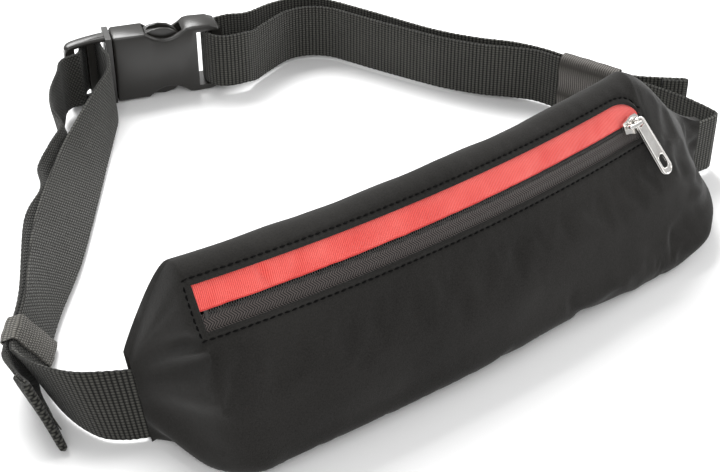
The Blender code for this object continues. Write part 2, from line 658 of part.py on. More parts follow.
def make_socket():
    socket = add_object("buckle_socket", prism(socket_outline(), -BUCKLE_HALF_THICK, BUCKLE_HALF_THICK), PLASTIC)
    bevel(socket, 1.3)
    half = CAVITY_HALF_THICK
    cut(socket, box(SOCKET_SLOT, (-20, 20), (-SLOT_HALF, SLOT_HALF)))
    for side in (-1, 1):
        y = sorted((side * SOCKET_BAR_HALF_THICK, side * 20))
        cut(socket, box((-5.0, SOCKET_SLOT[1]), y, (-SLOT_HALF, SLOT_HALF)))
    cut(socket, box((16.2, 60.0), (-half, half), (-SLOT_HALF, SLOT_HALF)))
    for side in (-1, 1):
        z = sorted((side * 10.0, side * 20.0))
        cut(socket, box((17.6, SOCKET_LENGTH - BAND_LENGTH), (-half, half), z))
    socket.matrix_world = buckle_placement(0.0, 0.0)


def buckle_placement(x, z):
    """Where a buckle piece's origin goes when it is at x and z of the buckle's frame."""
    turned = Matrix.Rotation(BUCKLE_ANGLE, 4, "Z")
    return Matrix.Translation(at_buckle(x, 0.0, z) * MM) @ turned


def sweep(x):
    """How far the plug has curved towards the waist at this x."""
    past = max(0.0, x - COLLAR_X[1]) / (PLUG_END - COLLAR_X[1])
    return PLUG_SWEEP * past**1.4


PLUG_PROFILE = [
    (49.3, 15.3), (52.5, 15.3), (56.0, 15.2), (60.0, 15.1), (64.0, 14.9), (66.4, 14.6), (68.0, 13.6), (68.6, 11.5),
]  # fmt: skip


def make_plug():
    half = PLUG_HALF_THICK
    rings = []
    for x, z in PLUG_PROFILE:
        y = sweep(x)
        quarter = [(half - PLUG_CHAMFER, z), (half, z - PLUG_CHAMFER)]
        right = [*quarter, *[(a, -b) for a, b in reversed(quarter)]]
        rings.append([(x, y + a, b) for a, b in [*right, *[(-a, -b) for a, b in right]]])
    plug = add_object("buckle_plug", tube_of_rings(rings), PLASTIC)
    deep = (-30, 30)
    for low, high in LADDER_SLOTS:
        cut(plug, box((low, high), deep, (-SLOT_HALF, SLOT_HALF)))
    thick = (-BUCKLE_HALF_THICK, BUCKLE_HALF_THICK)
    cut(plug, box(COLLAR_X, thick, (-BUCKLE_HALF_HEIGHT, BUCKLE_HALF_HEIGHT)), "UNION")
    cut(plug, box((22.0, COLLAR_X[0] + 1.0), (-2.4, 2.4), (-3.2, 3.2)), "UNION")
    plug.matrix_world = buckle_placement(0.0, 0.0)


LATCH_PIVOT = (46.6, 10.4)


def make_latch(name, side):
    """A springy arm of the plug: a thin root, and a head with a shoulder that catches behind the socket's band."""
    px, pz = LATCH_PIVOT
    outer = [(48.0, 12.2), (34.6, 12.2), (33.7, 13.0), (33.6, 14.4), (31.0, 15.4), (27.0, 15.8)]
    outer += [(23.0, 14.9), (20.0, 12.9), (18.3, 10.4)]
    inner = [(19.6, 8.6), (24.0, 8.4), (31.0, 9.2), (37.0, 9.8), (48.0, 8.6)]
    outline = [(x - px, side * (z - pz)) for x, z in [*outer, *inner]]
    arm = add_object(name, prism(outline, -3.1, 3.1), PLASTIC)
    hollow = [(6.4 * math.cos(t * math.pi / 8), 1.75 * math.sin(t * math.pi / 8)) for t in range(16)]
    z = sorted((side * 1.6, side * 12.0))
    cut(arm, tube_of_rings([[(26.2 - px + x, y, level) for x, y in hollow] for level in z]))
    arm.matrix_world = buckle_placement(px, side * pz)


# ---------------------------------------------------------------- bartacks


def bartack(name, ends, away, half_width, thick):
    """A dense bar of thread across a folded strap end, between two points of the strap's edges."""
    foot, head, out = Vector(ends[0]), Vector(ends[1]), Vector(away).normalized()
    across = (head - foot).normalized()
    along = across.cross(out).normalized() * half_width
    base = [foot + across * 2.5 - along, head - across * 2.5 - along]
    base += [head - across * 2.5 + along, foot + across * 2.5 + along]
    return add_object(name, tube_of_rings([base, [point + out * thick for point in base]]), THREAD)


def make_bartacks():
    low, high = KEEPER_LIFT, KEEPER_LIFT + STRAP_WIDTH
    along = Vector((147.4 - 139.6, 26.9 - 33.8, 0)).normalized()
    inward = Vector((along.y, -along.x, 0))
    spot = Vector((143.4, 30.4, 0)) + inward * (1.45 + GAP + 0.1)
    bartack("bartack_right", ((spot.x, spot.y, low), (spot.x, spot.y, high)), inward, 1.1, 0.5)
    foot, head = Vector(LEFT_TAIL_LOW[-2]), Vector(LEFT_TAIL_HIGH[-2])
    along = (Vector(LEFT_TAIL_LOW[-1]) + Vector(LEFT_TAIL_HIGH[-1]) - foot - head).normalized()
    out = along.cross((head - foot).normalized()).normalized()
    out = out if out.x > 0 else -out
    lift = out * (2.2 + GAP + 0.75) + along * 3.0
    bartack("bartack_left", (foot + lift, head + lift), out, 1.1, 0.5)


# ---------------------------------------------------------------- assembly


def set_origin():
    """Moves the whole belt so that the origin is at the middle of the underside of its box."""
    bpy.context.view_layer.update()
    graph = bpy.context.evaluated_depsgraph_get()
    corners = []
    for piece in bpy.context.scene.objects:
        if piece.type == "MESH" and not piece.hide_render:
            final = piece.evaluated_get(graph)
            corners += [final.matrix_world @ vertex.co for vertex in final.data.vertices]
    low = [min(corner[i] for corner in corners) for i in range(3)]
    high = [max(corner[i] for corner in corners) for i in range(3)]
    for piece in bpy.context.scene.objects:
        if piece.parent is None:
            piece.location -= Vector(((low[0] + high[0]) / 2, (low[1] + high[1]) / 2, low[2]))


FRONT = front_section()
front_panel = panel("pouch_front_panel", FRONT, -1)
cut(front_panel, zip_strip(WINDOW_X, WINDOW_A, (-4.0, 6.0)))
panel("pouch_back_panel", back_section(), 1)
make_zip()
make_slider()
make_right_strap()
make_left_strap()
make_keepers()
make_socket()
make_plug()
make_latch("latch_arm_upper", 1)
make_latch("latch_arm_lower", -1)
make_bartacks()
set_origin()
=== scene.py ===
"""The looks of the money belt: cloth, ribbon, zip, webbing, elastic and buckle, built round the frame."""

from math import asin, cos, dist, exp, hypot, pi, radians, sin, sqrt, tan

import bmesh
import bpy
from mathutils import Matrix, Vector, noise


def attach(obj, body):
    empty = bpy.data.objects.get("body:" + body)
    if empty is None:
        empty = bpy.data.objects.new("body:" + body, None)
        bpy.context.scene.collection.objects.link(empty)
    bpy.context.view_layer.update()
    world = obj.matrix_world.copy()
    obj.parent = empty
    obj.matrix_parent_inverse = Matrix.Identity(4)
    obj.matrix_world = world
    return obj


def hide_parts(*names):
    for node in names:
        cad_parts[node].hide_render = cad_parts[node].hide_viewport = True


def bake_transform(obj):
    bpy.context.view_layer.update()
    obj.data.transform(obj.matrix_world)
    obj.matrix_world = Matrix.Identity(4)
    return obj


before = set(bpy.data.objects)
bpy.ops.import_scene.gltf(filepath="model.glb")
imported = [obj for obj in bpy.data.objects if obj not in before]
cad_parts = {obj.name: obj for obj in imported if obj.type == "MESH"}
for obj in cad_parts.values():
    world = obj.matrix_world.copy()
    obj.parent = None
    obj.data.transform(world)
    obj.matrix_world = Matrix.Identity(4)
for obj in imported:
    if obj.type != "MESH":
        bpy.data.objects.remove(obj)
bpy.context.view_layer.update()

MM = 0.001
# Lists of points are in millimetres in the pouch's frame, whose origin is this far from the belt's.
SHIFT = Vector((3.6583, -80.7803, 0.0))


def row(point):
    """A point of the pouch's frame, in millimetres, as a point of the belt in metres."""
    return (Vector(point) + SHIFT) * MM


# ---- materials


class Shader:
    """A Principled material whose nodes are added one at a time."""

    def __init__(self, name, colour, roughness, metallic=0.0, sheen=0.0, specular=0.5):
        self.made = bpy.data.materials.new(name)
        self.made.use_nodes = True
        self.tree = self.made.node_tree
        self.shader = self.tree.nodes["Principled BSDF"]
        start = {"Base Color": (*colour, 1.0), "Roughness": roughness, "Metallic": metallic}
        start |= {"Sheen Weight": sheen, "Sheen Roughness": 0.45, "Specular IOR Level": specular}
        for key, value in start.items():
            self.shader.inputs[key].default_value = value

    def node(self, kind, **values):
        made = self.tree.nodes.new(kind)
        for key, value in values.items():
            setattr(made, key, value)
        return made

    def link(self, source, target):
        self.tree.links.new(source, target)

    def maths(self, operation, first, second=None):
        """A maths node's output; each input is a number or a socket."""
        made = self.node("ShaderNodeMath", operation=operation)
        for i, value in enumerate((first, second)):
            if value is None:
                continue
            if isinstance(value, (int, float)):
                made.inputs[i].default_value = value
            else:
                self.link(value, made.inputs[i])
        return made.outputs[0]

    def add(self, first, second):
        return self.maths("ADD", first, second)

    def times(self, first, second):
        return self.maths("MULTIPLY", first, second)

    def wave(self, source, pitch):
        """A sine that goes round once in two pitches."""
        return self.maths("SINE", self.times(source, pi / pitch))

    def noise(self, scale, detail=3.0, rough=0.55):
        """Smooth noise over the piece; scale is in waves to the metre."""
        made = self.node("ShaderNodeTexNoise")
        made.inputs["Scale"].default_value = scale
        made.inputs["Detail"].default_value = detail
        made.inputs["Roughness"].default_value = rough
        self.link(self.node("ShaderNodeTexCoord").outputs["Object"], made.inputs["Vector"])
        return made.outputs["Fac"]

    def ramp(self, factor, stops):
        """A colour ramp with a stop at each place."""
        made = self.node("ShaderNodeValToRGB")
        elements = made.color_ramp.elements
        while len(elements) < len(stops):
            elements.new(0.5)
        for element, (place, colour) in zip(elements, stops):
            element.position = place
            element.color = (*colour, 1.0)
        self.link(factor, made.inputs["Fac"])
        return made.outputs["Color"]

    def colour(self, source):
        self.link(source, self.shader.inputs["Base Color"])

    def mottle(self, scale, detail, dark, light, last=0.7):
        """The colour wanders between a dark and a light one."""
        self.colour(self.ramp(self.noise(scale, detail), [(0.3, dark), (last, light)]))

    def rough(self, source, spread_by, least):
        """Roughness that goes from least to least + spread_by."""
        value = self.add(self.times(source, spread_by), least)
        self.link(value, self.shader.inputs["Roughness"])

    def bump(self, height, depth, strength=1.0, under=None):
        """Bump of a real depth in metres."""
        made = self.node("ShaderNodeBump")
        made.inputs["Distance"].default_value = depth
        made.inputs["Strength"].default_value = strength
        self.link(height, made.inputs["Height"])
        if under is not None:
            self.link(under, made.inputs["Normal"])
        self.link(made.outputs["Normal"], self.shader.inputs["Normal"])
        return made.outputs["Normal"]

    def uv(self):
        """The piece's own lengthways and crossways positions, in millimetres."""
        parts = self.node("ShaderNodeSeparateXYZ")
        self.link(self.node("ShaderNodeTexCoord").outputs["UV"], parts.inputs[0])
        return parts.outputs["X"], parts.outputs["Y"]


def mixed(first, second, share):
    return tuple(a + (b - a) * share for a, b in zip(first, second))


def knit():
    """The pouch's matte stretch knit, with a fine heather."""
    s = Shader("pouch_knit", (0.013, 0.0126, 0.012), 1.0, sheen=0.12, specular=0.04)
    fine = s.noise(2100.0, 2.0, 0.75)
    tone = s.add(s.times(s.noise(18.0, 2.0), 0.4), s.times(fine, 0.6))
    s.colour(s.ramp(tone, [(0.3, (0.0125, 0.0121, 0.0114)), (0.7, (0.0285, 0.0273, 0.0257))]))
    first = s.bump(fine, 0.00016, 0.6)
    s.bump(s.noise(140.0, 3.0, 0.5), 0.0004, 0.4, first)
    return s.made


def weave(name, dark, light, along, across, depth=0.0004, diagonal=0.0, duty=0.0, plain_until=0.0):
    """Woven yarns over UVs in millimetres: along and across are the yarns' pitches."""
    s = Shader(name, mixed(dark, light, 0.5), 0.85, sheen=0.12, specular=0.2)
    u, v = s.uv()
    column = s.maths("FLOOR", s.maths("DIVIDE", v, across))
    if diagonal:
        past = s.maths("GREATER_THAN", u, plain_until)
        shift = s.times(s.times(column, diagonal), past)
    else:
        shift = s.times(s.maths("MODULO", column, 2.0), duty)
    phase = s.add(s.maths("DIVIDE", u, along), shift)
    ridge = s.maths("ABSOLUTE", s.wave(phase, 1))
    inner = s.maths("FRACT", s.maths("DIVIDE", v, across))
    round_yarn = s.wave(inner, 1)
    height = s.times(s.maths("POWER", ridge, 0.9), s.maths("POWER", round_yarn, 0.7))
    fibre = s.noise(1800.0, 2.0, 0.7)
    total = s.add(height, s.times(fibre, 0.25))
    wear = s.times(s.noise(45.0, 3.0), 0.25)
    # The colour follows the yarns' height: painted shade in the grooves between yarns and painted light on
    # their crests, with random wear on top.
    s.colour(s.ramp(s.add(s.times(height, 0.85), wear), [(0.25, dark), (0.95, light)]))
    s.bump(total, depth, 0.9)
    return s.made


def grosgrain():
    """The red ribbon, whose ribs run across it."""
    s = Shader("ribbon_red", (0.80, 0.07, 0.055), 0.5, sheen=0.3, specular=0.4)
    u, _ = s.uv()
    rib = s.maths("ABSOLUTE", s.wave(u, RIBBON_RIB))
    wide = s.noise(70.0, 2.0)
    tone = s.add(s.times(rib, 0.45), s.times(wide, 0.55))
    # Rib crests are painted lighter and the grooves between ribs darker: painted light and painted shade on
    # the ribs, mixed with random tone.
    deep, plain, bright = (0.50, 0.018, 0.015), (0.80, 0.072, 0.058), (0.95, 0.19, 0.16)
    s.colour(s.ramp(tone, [(0.1, deep), (0.55, plain), (0.95, bright)]))
    s.bump(s.add(rib, s.times(s.noise(1500.0), 0.3)), 0.00016, 0.9)
    return s.made


def herringbone():
    """The zip tape's weave: slanting lines that turn back at each band."""
    s = Shader("zip_tape_weave", (0.02, 0.018, 0.017), 0.7, sheen=0.2, specular=0.35)
    u, v = s.uv()
    slant = s.times(s.maths("PINGPONG", v, TAPE_BAND), 0.9)
    lines = s.wave(s.add(u, slant), TAPE_LINE / 2)
    height = s.add(s.times(lines, 0.5), 0.5)
    # The lines' low places are painted darker and their high places lighter: painted shade and painted
    # light on the weave's relief.
    s.colour(s.ramp(height, [(0.2, (0.0035, 0.003, 0.003)), (0.8, (0.088, 0.072, 0.066))]))
    s.bump(s.add(height, s.times(s.noise(1500.0), 0.4)), 0.00022, 0.9)
    return s.made


def moulded():
    """The buckle's satin plastic."""
    s = Shader("buckle_moulding", (0.019, 0.018, 0.0162), 0.38, specular=0.5)
    s.mottle(30.0, 2.0, (0.0165, 0.0155, 0.0138), (0.0225, 0.0212, 0.019), last=0.75)
    s.rough(s.noise(220.0, 3.0), 0.14, 0.27)
    s.bump(s.noise(2600.0, 2.0, 0.6), 0.00005, 0.4)
    return s.made


def plated():
    """The slider's and the tab's nickel."""
    s = Shader("nickel_plate", (0.70, 0.68, 0.655), 0.2, metallic=1.0)
    s.rough(s.noise(500.0, 4.0), 0.16, 0.12)
    s.mottle(260.0, 3.0, (0.76, 0.735, 0.705), (0.88, 0.86, 0.835))
    s.bump(s.noise(900.0, 2.0), 0.00003, 0.35)
    return s.made


def sewing(name, dark, light):
    """Sewing thread."""
    s = Shader(name, light, 0.8, specular=0.1)
    s.mottle(1500.0, 2.0, dark, light)
    s.bump(s.noise(3500.0, 2.0, 0.7), 0.00008, 0.6)
    return s.made


def nylon():
    """The zip's coils."""
    s = Shader("zip_coil_nylon", (0.016, 0.015, 0.0145), 0.42, specular=0.5)
    s.mottle(900.0, 2.0, (0.016, 0.015, 0.0142), (0.045, 0.042, 0.039))
    s.bump(s.noise(2500.0, 2.0), 0.00004, 0.4)
    return s.made


# Pitches in millimetres
RIBBON_RIB = 0.62
TAPE_BAND, TAPE_LINE = 1.6, 0.95
PLAIN_PART = 36.0  # the left webbing shows its ribbed face this far from the pouch, then its twill face

KNIT = knit()
WEBBING = weave("webbing_ribbed", (0.0035, 0.0035, 0.003), (0.088, 0.087, 0.076), 1.6, 1.05, depth=0.0005)
TWILL = weave(
    "webbing_twill",
    (0.0045, 0.0045, 0.004),
    (0.074, 0.073, 0.064),
    along=1.65,
    across=1.0,
    diagonal=0.42,
    plain_until=PLAIN_PART,
)
ELASTIC_RIGHT = weave("elastic_right", (0.040, 0.037, 0.033), (0.150, 0.140, 0.130), 0.95, 14.0)
ELASTIC_LEFT = weave("elastic_left", (0.028, 0.0265, 0.023), (0.170, 0.162, 0.143), 1.1, 1.5, duty=0.5)
RIBBON = grosgrain()
TAPE = herringbone()
PLASTIC = moulded()
NICKEL = plated()
THREAD = sewing("thread_black", (0.001, 0.001, 0.001), (0.0035, 0.0034, 0.0033))
TACK = sewing("thread_grey", (0.050, 0.047, 0.042), (0.150, 0.142, 0.128))
COIL = nylon()

# ---- mesh helpers


def added(name, data):
    made = bpy.data.objects.new(name, data)
    bpy.context.scene.collection.objects.link(made)
    return made


def placed(name, mesh, finish, body, smooth):
    """A mesh in metres becomes a piece that rides on a body; edges above the smooth angle stay sharp."""
    mesh.materials.clear()
    mesh.materials.append(finish)
    mesh.shade_smooth()
    mesh.set_sharp_from_angle(angle=radians(smooth))
    made = added(name, mesh)
    if body:
        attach(made, body)
    return made


def finish_mesh(name, data, finish, body, smooth=60):
    """A bmesh in pouch millimetres becomes a piece."""
    for vertex in data.verts:
        vertex.co = row(vertex.co)
    mesh = bpy.data.meshes.new(name)
    data.to_mesh(mesh)
    data.free()
    return placed(name, mesh, finish, body, smooth)


def grid_mesh(points, uvs=None, closed=False, skip=None):
    """A bmesh from rows of points; uvs are rows of pairs with one more column when the rows are closed."""
    made = bmesh.new()
    rows = [[made.verts.new(point) for point in line] for line in points]
    layer = made.loops.layers.uv.new("UVMap") if uvs else None
    count = len(rows[0])
    for i in range(len(rows) - 1):
        for j in range(count if closed else count - 1):
            if skip and skip(i, j):
                continue
            k = (j + 1) % count
            face = made.faces.new((rows[i][j], rows[i + 1][j], rows[i + 1][k], rows[i][k]))
            if layer:
                spots = ((i, j), (i + 1, j), (i + 1, j + 1), (i, j + 1))
                for loop, (m, n) in zip(face.loops, spots):
                    loop[layer].uv = uvs[m][n]
    return made, rows


def face_out(data):
    bmesh.ops.recalc_face_normals(data, faces=data.faces)


def skin(made, rings, closed=False):
    """Faces between rings of vertices, with caps on open ends."""
    following = [*rings[1:], rings[0]] if closed else rings[1:]
    for first, second in zip(rings, following):
        for k in range(len(first)):
            m = (k + 1) % len(first)
            made.faces.new((first[k], first[m], second[m], second[k]))
    if not closed:
        made.faces.new(rings[0])
        made.faces.new(rings[-1])


def tube(path, radius, sides=8, closed=False):
    """A tube along points, with capped ends; radius is a number, or a list with one for each point."""
    made = bmesh.new()
    path = [Vector(point) for point in path]
    count = len(path)
    rings = []
    normal = None
    for i, point in enumerate(path):
        before = path[i - 1] if i or closed else path[0]
        after = path[(i + 1) % count] if i < count - 1 or closed else path[-1]
        along = (after - before).normalized()
        if normal is None:
            normal = along.orthogonal().normalized()
        normal = (normal - along * normal.dot(along)).normalized()
        side = along.cross(normal)
        ring = []
        for k in range(sides):
            angle = 2 * pi * k / sides
            size = radius[i] if isinstance(radius, list) else radius
            ring.append(made.verts.new(point + (normal * cos(angle) + side * sin(angle)) * size))
        rings.append(ring)
    skin(made, rings, closed)
    return made


def joined(parts):
    """Several bmeshes as one."""
    made = bmesh.new()
    for part in parts:
        mesh = bpy.data.meshes.new("part")
        part.to_mesh(mesh)
        part.free()
        made.from_mesh(mesh)
        bpy.data.meshes.remove(mesh)
    return made


def smooth_path(points, step):
    """A Catmull-Rom curve through the points, as vectors about one step apart."""
    spots = [Vector(point) for point in points]
    spots = [2 * spots[0] - spots[1], *spots, 2 * spots[-1] - spots[-2]]
    found = []
    for a, b, c, d in zip(spots, spots[1:], spots[2:], spots[3:]):
        pieces = max(1, round((c - b).length / step))
        for i in range(pieces):
            t = i / pieces
            square, cube = 2 * a - 5 * b + 4 * c - d, 3 * b - a - 3 * c + d
            found.append(0.5 * ((2 * b) + (c - a) * t + square * t**2 + cube * t**3))
    return [*found, spots[-2]]


def clamp(value):
    return min(max(value, 0.0), 1.0)


def ease(value):
    """0 to 1, with a soft start and end."""
    value = clamp(value)
    return value * value * (3 - 2 * value)


# ---- pouch

POUCH_HALF = 125.0
SEAM_HEIGHT, SEAM_HALF, SEAM_FLOOR = 29.0, 1.5, 0.3
LEFT_SEAM_LEAN, RIGHT_SEAM_LEAN = radians(20), 0.0
LEFT_TAPER = (15.0, 10.5)
RIGHT_TAPER = (33.0, 34.0, 54.0)
FLOOR_SEAM_Y = -6.0
FRONT_FOOT = (-43.5, 0.0, 9.0)
FRONT_KNEE_Z, FRONT_KNEE_RADIUS = 33.2, 35.0
TOP_RADIUS = 7.0
BACK_LINE = ((-6.0, 64.0), (3.0, 25.0))
BACK_FOOT = (6.0, 0.0, 8.0)
ZIP_RADIUS, ZIP_MID_X = 670.0, -21.0
ZIP_FACE_Y, ZIP_Z = -25.0, 58.5
FACE_LEAN = radians(29)
WINDOW_X = (-113.6, 69.8)
WINDOW_A = (-6.5, 9.4)
CORNER = 13.0  # the window's upper closed corner is rounded over this length
CORNER_LEFT_OPEN = 6.4  # the window's height where that round corner ends
LIFT_FROM_X, LIFT_HEIGHT = 82.0, 4.5  # the floor's front edge rises towards the right seam
HEM_DEPTH = 1.7  # how far the window's edge turns in
SEW_GAP = 1.9  # from the window's edge to the topstitch
BEAD_SINK, BEAD_RADIUS = 0.3, 0.4  # the rounded fold on the window's edge
STITCH_PITCH, STITCH_LENGTH, THREAD_RADIUS = 2.5, 1.75, 0.31
SETTLE_FRAMES, SETTLE_LIMIT = 12, 0.65  # the simulation's length, and how far it may move the cloth


def line_cross(a, b, c, d):
    """Where the line through a and b meets the line through c and d."""
    r = (b[0] - a[0], b[1] - a[1])
    s = (d[0] - c[0], d[1] - c[1])
    t = ((c[0] - a[0]) * s[1] - (c[1] - a[1]) * s[0]) / (r[0] * s[1] - r[1] * s[0])
    return a[0] + t * r[0], a[1] + t * r[1]


def rounded_corner(before, corner, after, radius, pieces):
    """Points of the arc that rounds a corner."""
    corner = Vector(corner)
    into = (Vector(before) - corner).normalized()
    out = (Vector(after) - corner).normalized()
    half = into.angle(out) / 2
    run = radius / tan(half)
    centre = corner + (into + out).normalized() * radius / sin(half)
    first = corner + into * run - centre
    turn = pi - 2 * half
    if first.x * into.y - first.y * into.x > 0:
        turn = -turn
    found = []
    for i in range(pieces + 1):
        c, s = cos(turn * i / pieces), sin(turn * i / pieces)
        found.append((centre.x + first.x * c - first.y * s, centre.y + first.x * s + first.y * c))
    return found


def face_y(z):
    """Where the plane that holds the zip is at this height."""
    return ZIP_FACE_Y + (z - ZIP_Z) * tan(FACE_LEAN)


KNEE = (face_y(FRONT_KNEE_Z), FRONT_KNEE_Z)
PEAK = line_cross((face_y(0.0), 0.0), (ZIP_FACE_Y, ZIP_Z), *BACK_LINE)
START = (FLOOR_SEAM_Y, 0.0)
FRONT_CORNER, BACK_CORNER = FRONT_FOOT[:2], BACK_FOOT[:2]


def sections():
    """The front and the back of the section as fine lines, which meet on the rolled top."""
    top = rounded_corner(KNEE, PEAK, BACK_CORNER, TOP_RADIUS, 18)
    front = [START, *rounded_corner(START, FRONT_CORNER, KNEE, FRONT_FOOT[2], 12)]
    front += rounded_corner(FRONT_CORNER, KNEE, PEAK, FRONT_KNEE_RADIUS, 10)
    front += top[:13]
    back = [*top[12:], *rounded_corner(PEAK, BACK_CORNER, START, BACK_FOOT[2], 10), START]
    return front, back


class Line:
    """A line of points that is read by the length along it."""

    def __init__(self, points):
        self.points = points
        self.runs = [0.0]
        for before, after in zip(points, points[1:]):
            self.runs.append(self.runs[-1] + dist(before, after))
        self.length = self.runs[-1]

    def at(self, run):
        """The point this far along."""
        run = min(max(run, 0.0), self.length)
        for i in range(len(self.runs) - 1):
            if run <= self.runs[i + 1]:
                t = (run - self.runs[i]) / max(self.runs[i + 1] - self.runs[i], 1e-9)
                a, b = self.points[i], self.points[i + 1]
                return a[0] + (b[0] - a[0]) * t, a[1] + (b[1] - a[1]) * t
        return self.points[-1]

    def where_z(self, z):
        """The length at which the line first reaches this height."""
        run = 0.0
        while self.at(run)[1] < z:
            run += 0.02
        return run


FRONT, BACK = (Line(points) for points in sections())
RUN_LOW = FRONT.where_z(ZIP_Z + WINDOW_A[0] * cos(FACE_LEAN))
RUN_HIGH = FRONT.where_z(ZIP_Z + WINDOW_A[1] * cos(FACE_LEAN))


def pouch_point(x, y, z, share, side):
    """One point of the pouch. Away from the ends it is the section; at the ends it closes onto the seam."""
    inward = POUCH_HALF - abs(x)
    seam_z = SEAM_FLOOR + share * (SEAM_HEIGHT - SEAM_FLOOR)
    if x < 0:
        lean = LEFT_SEAM_LEAN
        low_run, high_run = LEFT_TAPER
        rise = ease((inward + 0.5) / (high_run + 0.5)) ** 0.85 if inward > 0 else 0.0
    else:
        lean = RIGHT_SEAM_LEAN
        low_run, high_run, drop_run = RIGHT_TAPER
        along = min(inward / drop_run, 1.0)
        rise = 0.5 * (along**1.15 + ease(along))
    seam_y = tan(lean) * seam_z + side * SEAM_HALF
    wide, power = (8.0, 0.85) if x < 0 else (14.0, 1.15)
    low_fill = (1 - (1 - min(inward / (low_run + wide), 1.0)) ** 2.3) ** power
    high_fill = ease(inward / high_run)
    height = ease(z / 45.0)
    fill = low_fill + (high_fill - low_fill) * height
    low_sag = 0.75 if x < ZIP_MID_X else 0.05
    sag = (x - ZIP_MID_X) ** 2 / (2 * ZIP_RADIUS) * (low_sag + (1.0 - low_sag) * ease(z / 32.0))
    part = clamp((x - LIFT_FROM_X) / (POUCH_HALF - LIFT_FROM_X))
    lift = LIFT_HEIGHT * sin(pi * part) ** 1.5 * (1 - ease(z / 42.0))
    return Vector((x, seam_y + (y + sag - seam_y) * fill, seam_z + (z - seam_z) * rise + lift))


# Folds of the front: start x and run, end x and run, height, width; runs are from the window's lower edge
FOLDS = [
    (-115.5, -2, -122.5, 6, -2.6, 1.8),
    (-115, -4, -122.5, -4, 2.4, 2.2),
    (-114, -6, -122, -13, -2.4, 2.4),
    (-112, -8, -119, -26, 1.5, 3.6),
    (-106, -5, -98, -24, -0.6, 3.4),
    (-112, -3, -84, -13, -0.6, 2.8),
    (-110, -5, -70, -24, 0.6, 4.5),
    (-115, 6, -121, 2, 0.8, 2),
    (-115, RUN_HIGH - RUN_LOW, -121, RUN_HIGH - RUN_LOW - 4, -0.7, 2),
    (78, -10, 116, -18, 0.4, 5),
    (86, -20, 116, -30, -0.9, 3),
    (92, -28, 118, -38, 0.9, 3),
    (88, -34, 110, -46, -0.8, 2.8),
    (74, -40, 96, -52, 0.9, 2.6),
    (60, -40, 88, -55, -0.8, 2.4),
    (40, -44, 58, -56, 0.6, 2.6),
    (20, -46, 34, -58, -0.5, 2.6),
    (-60, -14, 50, -9, -0.45, 4),
    (-90, -34, 10, -30, 0.6, 8),
    (-30, -22, 60, -26, -0.5, 7),
    (-100, -48, -40, -44, -0.7, 5),
]


def stitch_gap(x, run):
    """How far a place on the front is outside the zip's window, nearest edge."""
    across = max(RUN_LOW - run, run - RUN_HIGH, 0.0)
    along = max(WINDOW_X[0] - x, x - WINDOW_X[1], 0.0)
    return hypot(across, along)


def bell(distance, width):
    """1 at no distance, falling away smoothly over the width."""
    return exp(-((distance / width) ** 2))


def soft_noise(x, y, z):
    return noise.noise(Vector((x, y, z)))


def fold_height(x, run):
    """The folds' height at one place of the front."""
    total = 0.0
    for x0, r0, x1, r1, tall, width in FOLDS:
        dx, dr = x1 - x0, r1 - r0
        length = hypot(dx, dr)
        along, across = x - x0, run - (r0 + RUN_LOW)
        t = (along * dx + across * dr) / length**2
        off = abs(along * dr - across * dx) / length
        if -0.3 < t < 1.3 and off < 3 * width:
            total += tall * bell(off, width) * ease((t + 0.25) / 0.4) * ease((1.25 - t) / 0.5)
    return total


def ripple(x, run, side):
    """How far the cloth stands off its plain shape here."""
    inward = POUCH_HALF - abs(x)
    wide = soft_noise(x / 34.0, run / 24.0, side * 7.0)
    narrow = soft_noise(x / 11.0, run / 9.0, side * 3.0 + 9.0)
    total = 0.9 * wide + 0.22 * narrow
    if side < 0:
        gap = stitch_gap(x, run)
        total = (total + fold_height(x, run)) * ease((gap - 0.5) / 5.0)
        total -= 0.5 * bell(gap - SEW_GAP, 0.6)
        total += 0.2 * bell(gap - 0.7, 0.5)
        pucker = sin(x * 2 * pi / 6.2 + 2.0 * soft_noise(x / 9.0, 4.0, 1.0))
        total += 0.09 * pucker * bell(gap - 4.4, 2.2)
    total *= ease((inward - 1.0) / (20.0 if x > 0 else 9.0))
    if side < 0:
        swell = sin(run * 2 * pi / 31.0 + (2.2 if x > 0 else 0.4))
        total += 0.75 * swell * bell(inward - 5.0, 4.0)
        total *= ease(run / 6.0)
    return total


def base_point(x, run, side):
    """The pouch's plain shape, this far along the section."""
    line = FRONT if side < 0 else BACK
    y, z = line.at(run)
    share = run / line.length if side < 0 else 1 - run / line.length
    return pouch_point(x, y, z, share, side)


def window_run(x, run):
    """Pulls the window's upper edge down to a round corner at the zip's closed end."""
    into = (x - (WINDOW_X[1] - CORNER)) / CORNER
    if into <= 0:
        return run
    into = min(into, 1.0)
    drop = (RUN_HIGH - RUN_LOW - CORNER_LEFT_OPEN) * (1 - sqrt(max(1 - into * into, 0.0)))
    if x > WINDOW_X[1]:
        drop *= ease(1 - (x - WINDOW_X[1]) / 10.0)
    if run <= RUN_LOW + 0.01:
        return run
    if run <= RUN_HIGH:
        return run - drop * (run - RUN_LOW) / (RUN_HIGH - RUN_LOW)
    return run - drop * ease(1 - (run - RUN_HIGH) / 9.0)


def surface(x, run, side=-1):
    """A point of the cloth and its outward direction."""
    moved = window_run(x, run) if side < 0 else run
    here = base_point(x, moved, side)
    left, right = max(x - 0.6, -POUCH_HALF), min(x + 0.6, POUCH_HALF)
    along = base_point(right, moved, side) - base_point(left, moved, side)
    up = base_point(x, moved + 0.4, side) - base_point(x, moved - 0.4, side)
    out = along.cross(up)
    out = out.normalized() if out.length > 1e-9 else Vector((0, side, 0))
    return here + out * ripple(x, run, side), out


def spread(low, high, step):
    """Even values from low up to, but without, high."""
    pieces = max(1, round((high - low) / step))
    return [low + (high - low) * i / pieces for i in range(pieces)]


